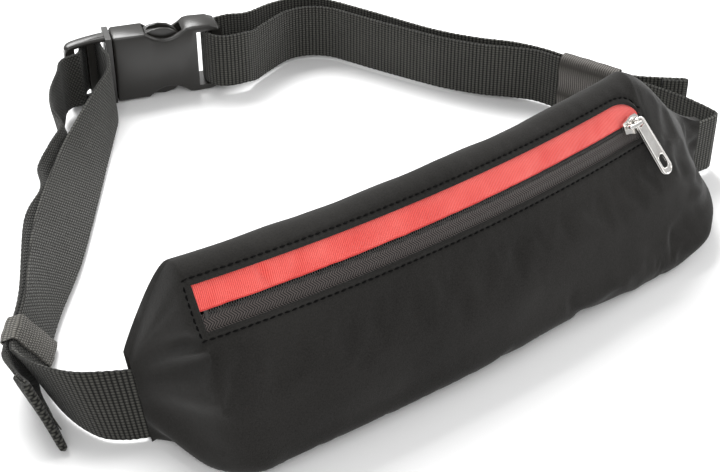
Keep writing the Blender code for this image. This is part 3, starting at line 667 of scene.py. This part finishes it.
def lengthways_lines():
    """The grid's places along the pouch, closer near the window's ends and the seams."""
    start, end = WINDOW_X
    xs = spread(-POUCH_HALF, start - 4, 0.8) + spread(start - 4, start, 0.6)
    xs += spread(start, end - CORNER, 1.5) + spread(end - CORNER, end, 0.8)
    return [*xs, *spread(end, end + 5, 0.6), *spread(end + 5, POUCH_HALF, 1.3), POUCH_HALF]


def freedom(xs, runs, back_runs):
    """How freely each point may settle: hardly at the window, the seams, the floor and the top."""
    free = []
    for x in xs:
        along = ease((POUCH_HALF - abs(x) - 1.5) / 12.0)
        for run in runs:
            top = 1.0 - 0.85 * ease((run - RUN_HIGH) / 8.0)
            free.append(along * ease((stitch_gap(x, run) - 3.5) / 9.0) * ease((run - 4.0) / 14.0) * top)
        for run in back_runs:
            top = 0.15 + 0.85 * ease((run - 4.0) / 16.0)
            free.append(along * ease((BACK.length - run - 8.0) / 14.0) * top)
    return free


def make_pouch():
    """The pouch's cloth as one grid, front then back, open at the zip's window, whose edge is turned in."""
    xs = lengthways_lines()
    runs = spread(0.0, RUN_LOW - 5, 1.5) + spread(RUN_LOW - 5, RUN_LOW, 0.5)
    low_index = len(runs)
    runs += spread(RUN_LOW, RUN_HIGH, 1.0)
    high_index = len(runs)
    runs += spread(RUN_HIGH, RUN_HIGH + 5, 0.5) + spread(RUN_HIGH + 5, FRONT.length, 0.8)
    back_runs = spread(0.0, BACK.length, 1.6) + [BACK.length]
    points = []
    for x in xs:
        line = [surface(x, run)[0] for run in runs]
        line += [surface(x, run, 1)[0] for run in back_runs]
        points.append(line)
    left, right = xs.index(WINDOW_X[0]), xs.index(WINDOW_X[1])

    def skip(i, j):
        return left <= i < right and low_index <= j < high_index

    made, rows = grid_mesh(points, skip=skip)
    border = [(i, low_index) for i in range(left, right)]
    border += [(right, j) for j in range(low_index, high_index)]
    border += [(i, high_index) for i in range(right, left, -1)]
    border += [(left, j) for j in range(high_index, low_index, -1)]
    inner = []
    for i, j in border:
        point, out = surface(xs[i], runs[j])
        inner.append(made.verts.new(point - out * HEM_DEPTH))
    for k, (i, j) in enumerate(border):
        m, n = border[(k + 1) % len(border)]
        made.faces.new((rows[i][j], rows[m][n], inner[(k + 1) % len(border)], inner[k]))
    made.verts.index_update()
    face_out(made)
    loop = [surface(xs[i], runs[j]) for i, j in border]
    free = freedom(xs, runs, back_runs) + [0.0] * len(inner)
    cloth = finish_mesh("pouch_cloth", made, KNIT, "belt", smooth=80)
    settle(cloth, free)
    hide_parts("pouch_front_panel", "pouch_back_panel")
    bead = tube([point - out * BEAD_SINK for point, out in loop], BEAD_RADIUS, 8, closed=True)
    finish_mesh("pouch_folded_edge", bead, KNIT, "belt", smooth=180)


def settle(cloth, free):
    """Lets the cloth fall into its own creases: a short simulation, whose shift is kept small."""
    mesh = cloth.data
    held = cloth.vertex_groups.new(name="held")
    for index, share in enumerate(free):
        held.add([index], 1.0 - share, "REPLACE")
    modifier = cloth.modifiers.new("settle", "CLOTH")
    values = modifier.settings
    values.quality = 6
    values.mass = 0.25
    values.tension_stiffness = values.compression_stiffness = 12.0
    values.shear_stiffness = 6.0
    values.bending_stiffness = 2.0
    values.vertex_group_mass = "held"
    values.shrink_min = -0.012
    values.use_pressure = True
    values.uniform_pressure_force = 2.0
    values.effector_weights.gravity = 0.0
    modifier.collision_settings.use_collision = False
    modifier.point_cache.frame_start, modifier.point_cache.frame_end = 1, SETTLE_FRAMES
    scene = bpy.context.scene
    for now in range(1, SETTLE_FRAMES + 1):
        scene.frame_set(now)
    graph = bpy.context.evaluated_depsgraph_get()
    settled = cloth.evaluated_get(graph).to_mesh()
    moves = [settled.vertices[i].co - vertex.co for i, vertex in enumerate(mesh.vertices)]
    cloth.evaluated_get(graph).to_mesh_clear()
    cloth.modifiers.remove(modifier)
    cloth.vertex_groups.clear()
    scene.frame_set(1)
    for vertex, move, share in zip(mesh.vertices, moves, free):
        move = move * share
        if move.length > SETTLE_LIMIT * MM:
            move = move.normalized() * SETTLE_LIMIT * MM
        vertex.co += move
    mesh.update()


def stitch(start, end, out):
    """One thread between two holes, standing a little off the cloth at its middle."""
    path, sizes = [], []
    for i in range(7):
        t = i / 6
        path.append(start.lerp(end, t) + out * (0.4 * sin(pi * t) - 0.05))
        sizes.append(THREAD_RADIUS * (0.6 + 0.4 * sin(pi * t)))
    return tube(path, sizes, 6)


def make_topstitch():
    """Separate stitches round the window."""
    parts = []
    for run in (RUN_LOW - SEW_GAP, RUN_HIGH + SEW_GAP):
        x = WINDOW_X[0] - SEW_GAP
        while x < WINDOW_X[1] + SEW_GAP - STITCH_LENGTH:
            sway = 0.12 * sin(x * 1.7)
            (a, out), (b, _) = surface(x, run + sway), surface(x + STITCH_LENGTH, run - sway)
            parts.append(stitch(a, b, out))
            x += STITCH_PITCH
    for x in (WINDOW_X[0] - SEW_GAP, WINDOW_X[1] + SEW_GAP):
        run = RUN_LOW - SEW_GAP + 1.0
        while run < RUN_HIGH + SEW_GAP - STITCH_LENGTH:
            (a, out), (b, _) = surface(x, run), surface(x, run + STITCH_LENGTH)
            parts.append(stitch(a, b, out))
            run += STITCH_PITCH
    stitches = finish_mesh("pouch_topstitch", joined(parts), THREAD, "belt", smooth=180)
    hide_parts("zip_topstitch")


# ---- zip


def on_zip(x, a, b):
    """A point at x along the zip, a up the slope from its teeth and b out of the fabric's face."""
    turn = asin((x - ZIP_MID_X) / ZIP_RADIUS)
    out = ZIP_RADIUS + b * cos(FACE_LEAN) - a * sin(FACE_LEAN)
    height = ZIP_Z + b * sin(FACE_LEAN) + a * cos(FACE_LEAN)
    centre_y = ZIP_FACE_Y + ZIP_RADIUS
    return Vector((ZIP_MID_X + out * sin(turn), centre_y - out * cos(turn), height))


# The ribbon's dents: place along the zip, depth, width, slant
DENTS = ((-109, 0.6, 1.5, 3), (-91, 1.3, 1.7, -2), (-79.5, 0.8, 2.2, 3), (20, 0.4, 4, 4))
HEM_RADIUS, TAPE_MARGIN = 0.22, 0.6
COIL_PITCH, COIL_X, COIL_WIRE = 0.84, (-111.0, 67.8), 0.19


def ribbon_height(x, share):
    """How high the ribbon stands: crowned, with soft waves and a few dents."""
    share = clamp(share)
    crown = -0.55 - 0.7 * ease((share - 0.6) / 0.4) + 0.45 * sin(pi * share) ** 0.6
    wave = 0.28 * soft_noise(x / 13.0, share * 1.5, 2.0) + 0.1 * soft_noise(x / 4.0, share * 3, 5.0)
    dent = sum(tall * bell(x - middle - lean * (share - 0.5), width) for middle, tall, width, lean in DENTS)
    return crown + wave - dent * sin(pi * share) ** 0.7


def make_ribbon():
    """The red ribbon above the teeth, whose upper edge turns down at the closed end."""
    ribbon, uvs = [], []
    xs = spread(WINDOW_X[0] - 0.5, WINDOW_X[1] + 0.5, 0.7) + [WINDOW_X[1] + 0.5]
    for x in xs:
        low = 0.75 + 0.16 * soft_noise(x / 9.0, 0, 8.0) + 0.1 * soft_noise(x / 3.0, 0, 4.0)
        into = clamp((x - (WINDOW_X[1] - CORNER)) / CORNER)
        high = 10.2 - 7.6 * (1 - sqrt(1 - into * into))
        shares = [j / 14 for j in range(15)]
        ribbon.append([on_zip(x, low + (high - low) * share, ribbon_height(x, share)) for share in shares])
        uvs.append([(x, share * 9.4) for share in shares])
    red = finish_mesh("ribbon_cover", grid_mesh(ribbon, uvs)[0], RIBBON, "belt")
    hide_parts("red_ribbon")
    hem = tube([line[0] for line in ribbon], HEM_RADIUS, 6)
    finish_mesh("ribbon_lower_hem", hem, RIBBON, "belt", smooth=180)


def tape_level(x, a, share):
    """How high a tape lies: the upper one deep under the ribbon, the lower one softly waved."""
    if a > 0:
        return -1.75
    return -1.0 - 0.15 * sin(pi * share) + 0.1 * soft_noise(x / 15, a, 3)


def make_tape(name, node, low, high):
    """One tape, between two distances from the teeth."""
    points, marks = [], []
    start, end = WINDOW_X[0] - TAPE_MARGIN, WINDOW_X[1] + TAPE_MARGIN
    for x in [*spread(start, end, 1.0), end]:
        places = [low + (high - low) * j / 9 for j in range(10)]
        points.append([on_zip(x, a, tape_level(x, a, j / 9)) for j, a in enumerate(places)])
        marks.append([(x, a + 20.0) for a in places])
    tape = finish_mesh(name, grid_mesh(points, marks)[0], TAPE, "belt")
    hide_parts(node)


def make_coil(name, side, phase):
    """One coil: a helix whose loops reach over the zip's middle."""
    path = []
    turns = int((COIL_X[1] - COIL_X[0]) / COIL_PITCH)
    for i in range(turns * 9):
        t = i / 9
        angle = 2 * pi * (t + phase)
        a = side * (0.36 - 0.5 * cos(angle)) - 0.3
        path.append(on_zip(COIL_X[0] + t * COIL_PITCH, a, -0.72 + 0.4 * sin(angle)))
    coil = finish_mesh(name, tube(path, COIL_WIRE, 5), COIL, "belt", smooth=180)
    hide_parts("zip_" + name)


def make_zip():
    make_ribbon()
    make_tape("tape_lower", "zip_tape_lower", -7.8, -0.5)
    make_tape("tape_upper", "zip_tape_upper", 0.5, 9.8)
    make_coil("coil_upper", 1, 0.0)
    make_coil("coil_lower", -1, 0.5)


# ---- pieces that keep the frame's shape


def carried(node, name, finish, body, width, segments=3):
    """The frame's own shape with its edges rounded over a width in millimetres."""
    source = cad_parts[node]
    mesh = source.data.copy()
    data = bmesh.new()
    data.from_mesh(mesh)
    data.transform(source.matrix_world)
    bmesh.ops.remove_doubles(data, verts=data.verts, dist=2e-6)
    bmesh.ops.dissolve_limit(data, angle_limit=radians(2.0), verts=data.verts, edges=data.edges)
    face_out(data)
    data.to_mesh(mesh)
    data.free()
    made = placed(name, mesh, finish, body, 35)
    modifier = made.modifiers.new("round", "BEVEL")
    modifier.width = width * MM
    modifier.segments = segments
    modifier.limit_method = "ANGLE"
    modifier.angle_limit = radians(32)
    modifier.harden_normals = True
    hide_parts(node)


def make_metal():
    carried("zip_slider_body", "slider_body", NICKEL, "zip_slider", 0.22)
    carried("zip_slider_bridge", "slider_bridge", NICKEL, "zip_slider", 0.3)
    carried("pull_tab", "slider_tab", NICKEL, "zip_pull", 0.24)
    add_tab_rim()
    carried("zip_bottom_stop", "stop_bottom", COIL, "belt", 0.2, 2)
    for node in ("zip_top_stop_upper", "zip_top_stop_lower"):
        carried(node, node + "_rounded", NICKEL, "belt", 0.2, 2)


# Where the slider is along the zip, how far from its middle the tab hangs, and the tab's angle
SLIDER_MID, LEG_X, TAB_ANGLE = 63.15, 2.6, radians(-73)


def arc(centre, start, radius):
    """Half a circle round a place on the tab's middle line."""
    angles = [radians(start + 15 * i) for i in range(13)]
    return [(centre + radius * cos(angle), radius * sin(angle)) for angle in angles]


def add_tab_rim():
    """The raised rims of the pull tab and its hole."""
    middle = on_zip(SLIDER_MID, 0.0, 0.0)
    ahead = (on_zip(SLIDER_MID + 0.5, 0, 0) - on_zip(SLIDER_MID - 0.5, 0, 0)).normalized()
    up = (on_zip(SLIDER_MID, 1.0, 0) - middle).normalized()
    turned = Matrix((ahead, up, ahead.cross(up).normalized())).transposed().to_4x4()
    hinge = Matrix.Translation((LEG_X, 0, 0)) @ Matrix.Rotation(TAB_ANGLE, 4, "Z")
    place = Matrix.Translation(middle) @ turned @ hinge
    edge = arc(20.5, -90, 2.35) + arc(0.35, 90, 2.0)
    hole = arc(18.9, -90, 1.75) + arc(16.5, 90, 1.75)
    parts = []
    for outline, radius in ((edge, 0.36), (hole, 0.26)):
        for level in (2.4, 3.15):
            parts.append(tube([place @ Vector((x, y, level)) for x, y in outline], radius, 8, closed=True))
    finish_mesh("slider_tab_rim", joined(parts), NICKEL, "zip_pull", smooth=180)


def plug_sweep(x):
    """How far the plug's strap end is swept back at this place."""
    return 4.6 * (max(0.0, x - 50.9) / 17.7) ** 1.4


def rod_ring(x, share, side):
    """One section of a side rod, which shrinks and turns inward at the tip."""
    tip = sqrt(max(1 - max(0.0, (x - 65.6) / 3.0) ** 2, 0.02))
    deep, tall = 3.5 * tip * (1 - 0.12 * share), 1.35 * tip
    middle = 13.95 - 0.5 * (max(0.0, x - 60.0) / 8.5) ** 2
    ring = []
    for k in range(16):
        angle = pi * k / 8
        y, z = plug_sweep(x) + deep * cos(angle), side * (middle + tall * sin(angle))
        ring.append(BUCKLE_FRAME @ Vector((x, y, z)))
    return ring


def add_plug_rods():
    """The plug's two rounded side rods, which curve to the waist at their tips."""
    parts = []
    for side in (-1, 1):
        made = bmesh.new()
        rings = []
        for i in range(25):
            spots = rod_ring(49.6 + 18.9 * i / 24, i / 24, side)
            rings.append([made.verts.new(spot) for spot in spots])
        skin(made, rings)
        face_out(made)
        parts.append(made)
    finish_mesh("plug_rods", joined(parts), PLASTIC, "plug")


def make_buckle():
    add_plug_rods()
    for node, name, body, width in (
        ("buckle_socket", "socket_shell", "belt", 0.45),
        ("buckle_plug", "plug_frame", "plug", 0.5),
        ("latch_arm_upper", "latch_upper_rounded", "latch_upper", 0.5),
        ("latch_arm_lower", "latch_lower_rounded", "latch_lower", 0.5),
    ):
        carried(node, name, PLASTIC, body, width)


# ---- straps

STRAP_WIDTH, STRAP_THICKNESS = 25.0, 1.4
SELVEDGE = 0.35  # the woven edge's own width
FOLD_GAP = 1.5  # between the middles of the two layers of a folded end
KEEPER_LIFT = 1.9
BUCKLE_TURN = radians(160)
BUCKLE_FRAME = Matrix.Translation((18.8, 179.5, 16.0)) @ Matrix.Rotation(BUCKLE_TURN, 4, "Z")
RIGHT_RUN = [
    (122.8, -0.4), (125, 0), (131, -0.3), (135, -0.5), (137.2, 0.6), (137.6, 3.6), (137.2, 9.5),
    (136, 18), (133, 30), (126, 50), (119, 70), (115.2, 80.8), (108.5, 89.5), (99.5, 99.5), (91, 112.5),
    (85.4, 124), (77.5, 142), (71.8, 156), (67.5, 165.5), (60.5, 172.3), (50.5, 174.8), (38, 171.6),
    (29, 168.6),
]
RIGHT_BUCKLE_IN = [(-8.5, 10.4), (-3.0, 11.3), (2.0, 10.8), (5.6, 8.4), (7.8, 4.6), (8.3, 0.0)]
RIGHT_BUCKLE_OUT = [(7.2, -4.0), (4.0, -6.2), (0.0, -7.0), (-5.0, -7.9)]
RIGHT_TAIL = [
    (35.5, 184.3), (48.5, 185.2), (59.5, 183.4), (67.4, 178.4), (72.4, 170.4), (76.8, 160),
    (82.4, 145.8), (89.4, 127.4), (95.4, 115.2), (103.2, 103.4), (111.6, 93), (117.6, 81.9),
    (121.3, 71), (128.4, 50.8), (130.8, 43.8), (133.6, 39.6), (139.6, 33.8), (147.4, 26.9),
]
LEFT_MAIN_LOW = [
    (-123.2, -0.6, 1.1), (-125, 0.2, 1), (-131.5, 3.6, 1), (-137, 9, 1), (-140.2, 18.5, 1.2),
    (-141.4, 30, 1.7), (-140.4, 40, 2), (-136.6, 48.7, 2.2), (-121, 69.5, 2.2), (-98.5, 94.5, 1.6),
    (-71.6, 129.6, 1.2), (-57.3, 148.7, 1.2), (-45, 165, 1.3), (-37.3, 175.6, 2),
]
LEFT_MAIN_HIGH = [
    (-123.2, 7.4, 24.7), (-125, 8.2, 24.6), (-132.6, 12.6, 24.6), (-140.2, 17.6, 24.9),
    (-145.6, 24, 24.9), (-149, 31.5, 24.6), (-149.8, 38, 23.8), (-148.6, 45.2, 22.9), (-133, 66, 22.9),
    (-110.4, 103.5, 22.2), (-83, 137.4, 22), (-66.6, 152.9, 23.9), (-49.6, 167.6, 25.9),
    (-38.9, 176.4, 27),
]
LEFT_BUCKLE = [
    (51.4, 13.8), (52.4, 8.4), (53, 4.4), (53.2, 0.8), (53.8, -2.3), (55.3, -3.7), (57.2, -4.1),
    (59.4, -3.4), (60.9, -1.2), (61.5, 2.2), (62, 5.6), (63.4, 8.1), (66.4, 9.2), (69.6, 10.9),
    (71.9, 14.6), (73.3, 20.7),
]
LEFT_TAIL_LOW = [
    (-63.3, 175.8, 1.8), (-66.8, 164.5, 1.4), (-66.4, 155, 1.2), (-73, 143, 1.2), (-83.2, 129, 1.1),
    (-89.2, 116.5, 1.1), (-101.2, 97, 1.6), (-122.6, 70.7, 1.5), (-138.2, 49.9, 1.5), (-143.3, 40.6, 2),
    (-145.6, 29, 2), (-147.5, 19, 1.9), (-149, 11.2, 1.8),
]
LEFT_TAIL_HIGH = [
    (-64.9, 177, 26.3), (-70.6, 165.5, 25.4), (-72.9, 153.6, 24.4), (-82.5, 144.8, 23.4),
    (-92.8, 134.9, 21.9), (-98.6, 121.6, 21.7), (-113.2, 105.8, 22.2), (-134.6, 67.2, 22.2),
    (-150.2, 46.4, 22.2), (-153.6, 40.6, 22.6), (-154, 34.6, 22.4), (-153.6, 29.6, 22.2),
    (-152.8, 25.4, 22),
]


def upright(points):
    """Pairs of lower and upper edge points, one straight above the other."""
    return [((x, y, KEEPER_LIFT), (x, y, KEEPER_LIFT + STRAP_WIDTH)) for x, y in points]


def buckle_upright(points):
    """The same, across the buckle's own frame."""
    pairs = []
    for x, y in points:
        low, high = (BUCKLE_FRAME @ Vector((x, y, side * STRAP_WIDTH / 2)) for side in (-1, 1))
        pairs.append((tuple(low), tuple(high)))
    return pairs


def strap_edges(pairs):
    """The two edges as smooth lines with the same number of points."""
    both = smooth_path([(*low, *high) for low, high in pairs], 1.6)
    return [Vector(point[:3]) for point in both], [Vector(point[3:]) for point in both]


def strap_normals(low, high):
    """The strap's outward direction at each pair of edge points."""
    normals = []
    for i in range(len(low)):
        ahead, behind = min(i + 1, len(low) - 1), max(i - 1, 0)
        along = (low[ahead] - low[behind]) + (high[ahead] - high[behind])
        normals.append(along.cross(high[i] - low[i]).normalized())
    return normals


def fold_back(low, high, length):
    """Turns the end of a strap over onto itself: a round fold, then a stretch beside it."""
    normals = strap_normals(low, high)
    half = FOLD_GAP / 2
    run, index = 0.0, len(low) - 1
    while run < length and index > 0:
        run += (low[index] - low[index - 1]).length
        index -= 1
    more_low, more_high = [], []
    end = (low[-1] - low[-2]).normalized()
    top = (high[-1] - high[-2]).normalized()
    for i in range(1, 7):
        angle = pi * i / 6
        lift = normals[-1] * (half * (1 - cos(angle)))
        more_low.append(low[-1] + lift + end * (half * sin(angle)))
        more_high.append(high[-1] + lift + top * (half * sin(angle)))
    for i in range(len(low) - 2, index, -1):
        more_low.append(low[i] + normals[i] * FOLD_GAP)
        more_high.append(high[i] + normals[i] * FOLD_GAP)
    return [*low, *more_low], [*high, *more_high]


def strap_mesh(low, high):
    """Webbing with rounded selvedges, and UVs in millimetres along and across it."""
    normals = strap_normals(low, high)
    half, count = STRAP_THICKNESS / 2, 10
    points, marks = [], []
    run = 0.0
    for i, (foot, head) in enumerate(zip(low, high)):
        if i:
            run += ((foot - low[i - 1]).length + (head - high[i - 1]).length) / 2
        width = (head - foot).length
        across = (head - foot) / width
        sway = 0.12 * sin(run * 2 * pi / 2.7)
        ring, mark = [], []
        for face in (1, -1):
            order = range(count + 1) if face > 0 else range(count, -1, -1)
            for k in order:
                share = k / count
                place = SELVEDGE + share * (width - 2 * SELVEDGE)
                level = half * (0.82 if k in (0, count) else 1.0)
                edge = sway if k == count else -sway if k == 0 else 0.0
                ring.append(foot + across * (place + edge) + normals[i] * (face * level))
                mark.append((run, place if face > 0 else place + 40.0))
            tip = width if face > 0 else 0.0
            ring.append(foot + across * (tip + face * sway))
            mark.append((run, tip if face > 0 else 40.0 + tip))
        mark.append(mark[0])
        points.append(ring)
        marks.append(mark)
    made, rows = grid_mesh(points, marks, closed=True)
    for ring in (rows[0], rows[-1]):
        made.faces.new(ring)
    face_out(made)
    return made


def make_right_strap():
    """One strap with its loop and its tail."""
    pairs = upright(RIGHT_RUN) + buckle_upright([*RIGHT_BUCKLE_IN, *RIGHT_BUCKLE_OUT]) + upright(RIGHT_TAIL)
    low, high = fold_back(*strap_edges(pairs), 10.0)
    right = finish_mesh("webbing_right", strap_mesh(low, high), WEBBING, "belt", smooth=50)
    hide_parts("strap_right_main", "strap_right_loop", "strap_right_tail")


def make_left_strap():
    """The strap that goes through the plug's bar; its end is folded twice."""
    pairs = list(zip(LEFT_MAIN_LOW, LEFT_MAIN_HIGH)) + buckle_upright(LEFT_BUCKLE)
    pairs += list(zip(LEFT_TAIL_LOW, LEFT_TAIL_HIGH))
    low, high = fold_back(*strap_edges(pairs), 9.0)
    low, high = fold_back(low, high, 8.0)
    left = finish_mesh("webbing_left", strap_mesh(low, high), TWILL, None, smooth=50)
    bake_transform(left)
    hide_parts("strap_left_main", "strap_left_loop", "strap_left_tail")


def make_tack(name, node, centre, along, across, out, length, width):
    """A dense zigzag of thread."""
    path = []
    crossings = 30
    for i in range(crossings + 1):
        share = i / crossings
        side = 1 if i % 2 else -1
        path.append(centre + across * ((share - 0.5) * length) + along * (side * width) + out * 0.12)
    tack = finish_mesh(name, tube(path, 0.24, 6), TACK, "belt", smooth=180)
    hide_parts(node)


KEEPER_HALF_THICK, KEEPER_CORNER = 3.05, 1.7


def keeper_corner(u, v, start, half_width):
    """The points of one rounded corner of a loop's section."""
    wide, thick = u * (half_width - KEEPER_CORNER), v * (KEEPER_HALF_THICK - KEEPER_CORNER)
    angles = [radians(start + 18 * i) for i in range(6)]
    return [(wide + KEEPER_CORNER * cos(a), thick + KEEPER_CORNER * sin(a)) for a in angles]


def keeper_profile(half_width):
    """A loop's section: four round corners with straight stretches between them."""
    turns = ((1, 1, 0), (-1, 1, 90), (-1, -1, 180), (1, -1, 270))
    corners = [keeper_corner(u, v, start, half_width) for u, v, start in turns]
    profile = []
    for corner, following in zip(corners, corners[1:] + corners[:1]):
        (x0, y0), (x1, y1) = corner[-1], following[0]
        straight = [(x0 + (x1 - x0) * i / 8, y0 + (y1 - y0) * i / 8) for i in range(1, 8)]
        profile += corner + straight
    return profile


def keeper(name, node, body, finish, middle, along, across, half_length, offset, bulge):
    """An elastic loop with soft corners and turned edges."""
    along = along.normalized()
    half_width = across.length / 2 + 0.9
    across = across.normalized()
    normal = along.cross(across).normalized()
    profile = keeper_profile(half_width)
    steps = max(8, int(half_length * 2 / 1.2))
    # The first and the last ring are drawn in, which turns the edges
    shape = [(-1, -0.9)] + [(-1 + 2 * i / steps, 0.0) for i in range(steps + 1)] + [(1, -0.9)]
    rows, marks = [], []
    for k, (t, inset) in enumerate(shape):
        ring, mark, run = [], [], 0.0
        swell = bulge * (1 - t * t) + inset
        for j, (p, q) in enumerate(profile):
            if j:
                run += dist(profile[j], profile[j - 1])
            size = hypot(p, q)
            stretch = (size + swell * 0.35) / size
            on_face = swell if abs(q) > KEEPER_HALF_THICK - 0.5 else 0.0
            outward = 1 if q > 0 else -1
            lift = q + outward * on_face * (0.7 + 0.3 * cos(p / half_width * 2))
            wave = 0.16 * sin(run * 0.9 + k) * (1 - t * t)
            reach = half_length * t + 0.2 * sin(run * 0.5)
            ring.append(middle + across * (p * stretch) + normal * (lift + wave + offset) + along * reach)
            mark.append((t * half_length + 50, run))
        mark.append((t * half_length + 50, run + 1.0))
        rows.append(ring)
        marks.append(mark)
    made, _ = grid_mesh(rows, marks, closed=True)
    face_out(made)
    loop = finish_mesh(name, made, finish, body, smooth=70)
    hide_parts(node)


def make_keepers():
    """The wide loop on the right strap and the narrow one on the left strap."""
    middle = Vector((123.2, 58.0, KEEPER_LIFT + STRAP_WIDTH / 2))
    along = Vector((119.0 - 133.0, 70.0 - 30.0, 0.0))
    across = Vector((0, 0, STRAP_WIDTH))
    place = (middle, along, across, 13.0, 1.15, 0.35)
    keeper("elastic_loop_right", "keeper_right", "keeper_on_right", ELASTIC_RIGHT, *place)
    low, high = Vector(LEFT_MAIN_LOW[7]), Vector(LEFT_MAIN_HIGH[7])
    along = Vector(LEFT_MAIN_LOW[8]) - low
    middle = (low + high) / 2 + along.normalized() * 7.2
    place = (middle, along, high - low, 6.2, -1.1, 0.5)
    keeper("elastic_loop_left", "keeper_left", "keeper_on_left", ELASTIC_LEFT, *place)


def make_tacks():
    """The dense stitching that closes each strap's loop."""
    along = Vector((147.4 - 139.6, 26.9 - 33.8, 0)).normalized()
    inward = Vector((along.y, -along.x, 0))
    centre = Vector((142.8, 31.0, KEEPER_LIFT + STRAP_WIDTH / 2)) + inward * 0.9
    make_tack("tack_right", "bartack_right", centre, along, Vector((0, 0, 1)), inward, 19.0, 1.1)
    foot, head = Vector(LEFT_TAIL_LOW[-2]), Vector(LEFT_TAIL_HIGH[-2])
    along = (Vector(LEFT_TAIL_LOW[-1]) + Vector(LEFT_TAIL_HIGH[-1]) - foot - head).normalized()
    across = (head - foot).normalized()
    out = along.cross(across).normalized()
    out = out if out.x > 0 else -out
    centre = (foot + head) / 2 + out * 0.95 + along * 3.0
    make_tack("tack_left", "bartack_left", centre, along, across, out, 18.0, 1.0)


# ---- studio


# Name, place in metres, size in metres, power in watts
LAMPS = (
    ("key", (0.15, 0.85, 1.15), 0.8, 32.0),
    ("front", (-0.7, -1.1, 1.0), 0.9, 10.0),
    ("side", (1.2, -0.3, 0.8), 0.9, 7.0),
)
LAMP_AIM = Vector((0, 0, 0.03))
CAMERA_PLACE = (-282.9, -321.8, 337.0)
CAMERA_AZIMUTH, CAMERA_ELEVATION = radians(-37.0), radians(36.0)


def make_stage():
    """A white floor, even light from all round and three soft lamps."""
    bpy.ops.mesh.primitive_plane_add(size=6.0, location=(0, 0, 0))
    floor = bpy.context.object
    floor.name = "floor"
    s = Shader("floor_paper", (0.9, 0.9, 0.9), 0.9)
    s.mottle(3.0, 2.0, (0.88, 0.88, 0.88), (0.91, 0.91, 0.91))
    floor.data.materials.append(s.made)
    world = bpy.data.worlds.new("studio")
    bpy.context.scene.world = world
    world.use_nodes = True
    background = world.node_tree.nodes["Background"]
    background.inputs["Color"].default_value = (1.0, 1.0, 1.0, 1.0)
    background.inputs["Strength"].default_value = 0.55
    for name, place, size, power in LAMPS:
        lamp = bpy.data.lights.new(name, "AREA")
        lamp.size = size
        lamp.energy = power
        made = added(name, lamp)
        made.location = place
        made.rotation_euler = (LAMP_AIM - Vector(place)).to_track_quat("-Z", "Y").to_euler()


def make_camera():
    """The photo's own view."""
    camera = bpy.data.cameras.new("camera")
    camera.lens, camera.sensor_width = 75.0, 36.0
    made = added("camera", camera)
    made.location = row(CAMERA_PLACE)
    level = cos(CAMERA_ELEVATION)
    across, along = -sin(CAMERA_AZIMUTH) * level, cos(CAMERA_AZIMUTH) * level
    ahead = Vector((across, along, -sin(CAMERA_ELEVATION)))
    made.rotation_euler = ahead.to_track_quat("-Z", "Y").to_euler()
    bpy.context.scene.camera = made


make_camera()
make_stage()
bpy.context.scene.view_settings.view_transform = "Standard"
make_pouch()
make_topstitch()
make_zip()
make_metal()
make_buckle()
make_right_strap()
make_left_strap()
make_keepers()
make_tacks()
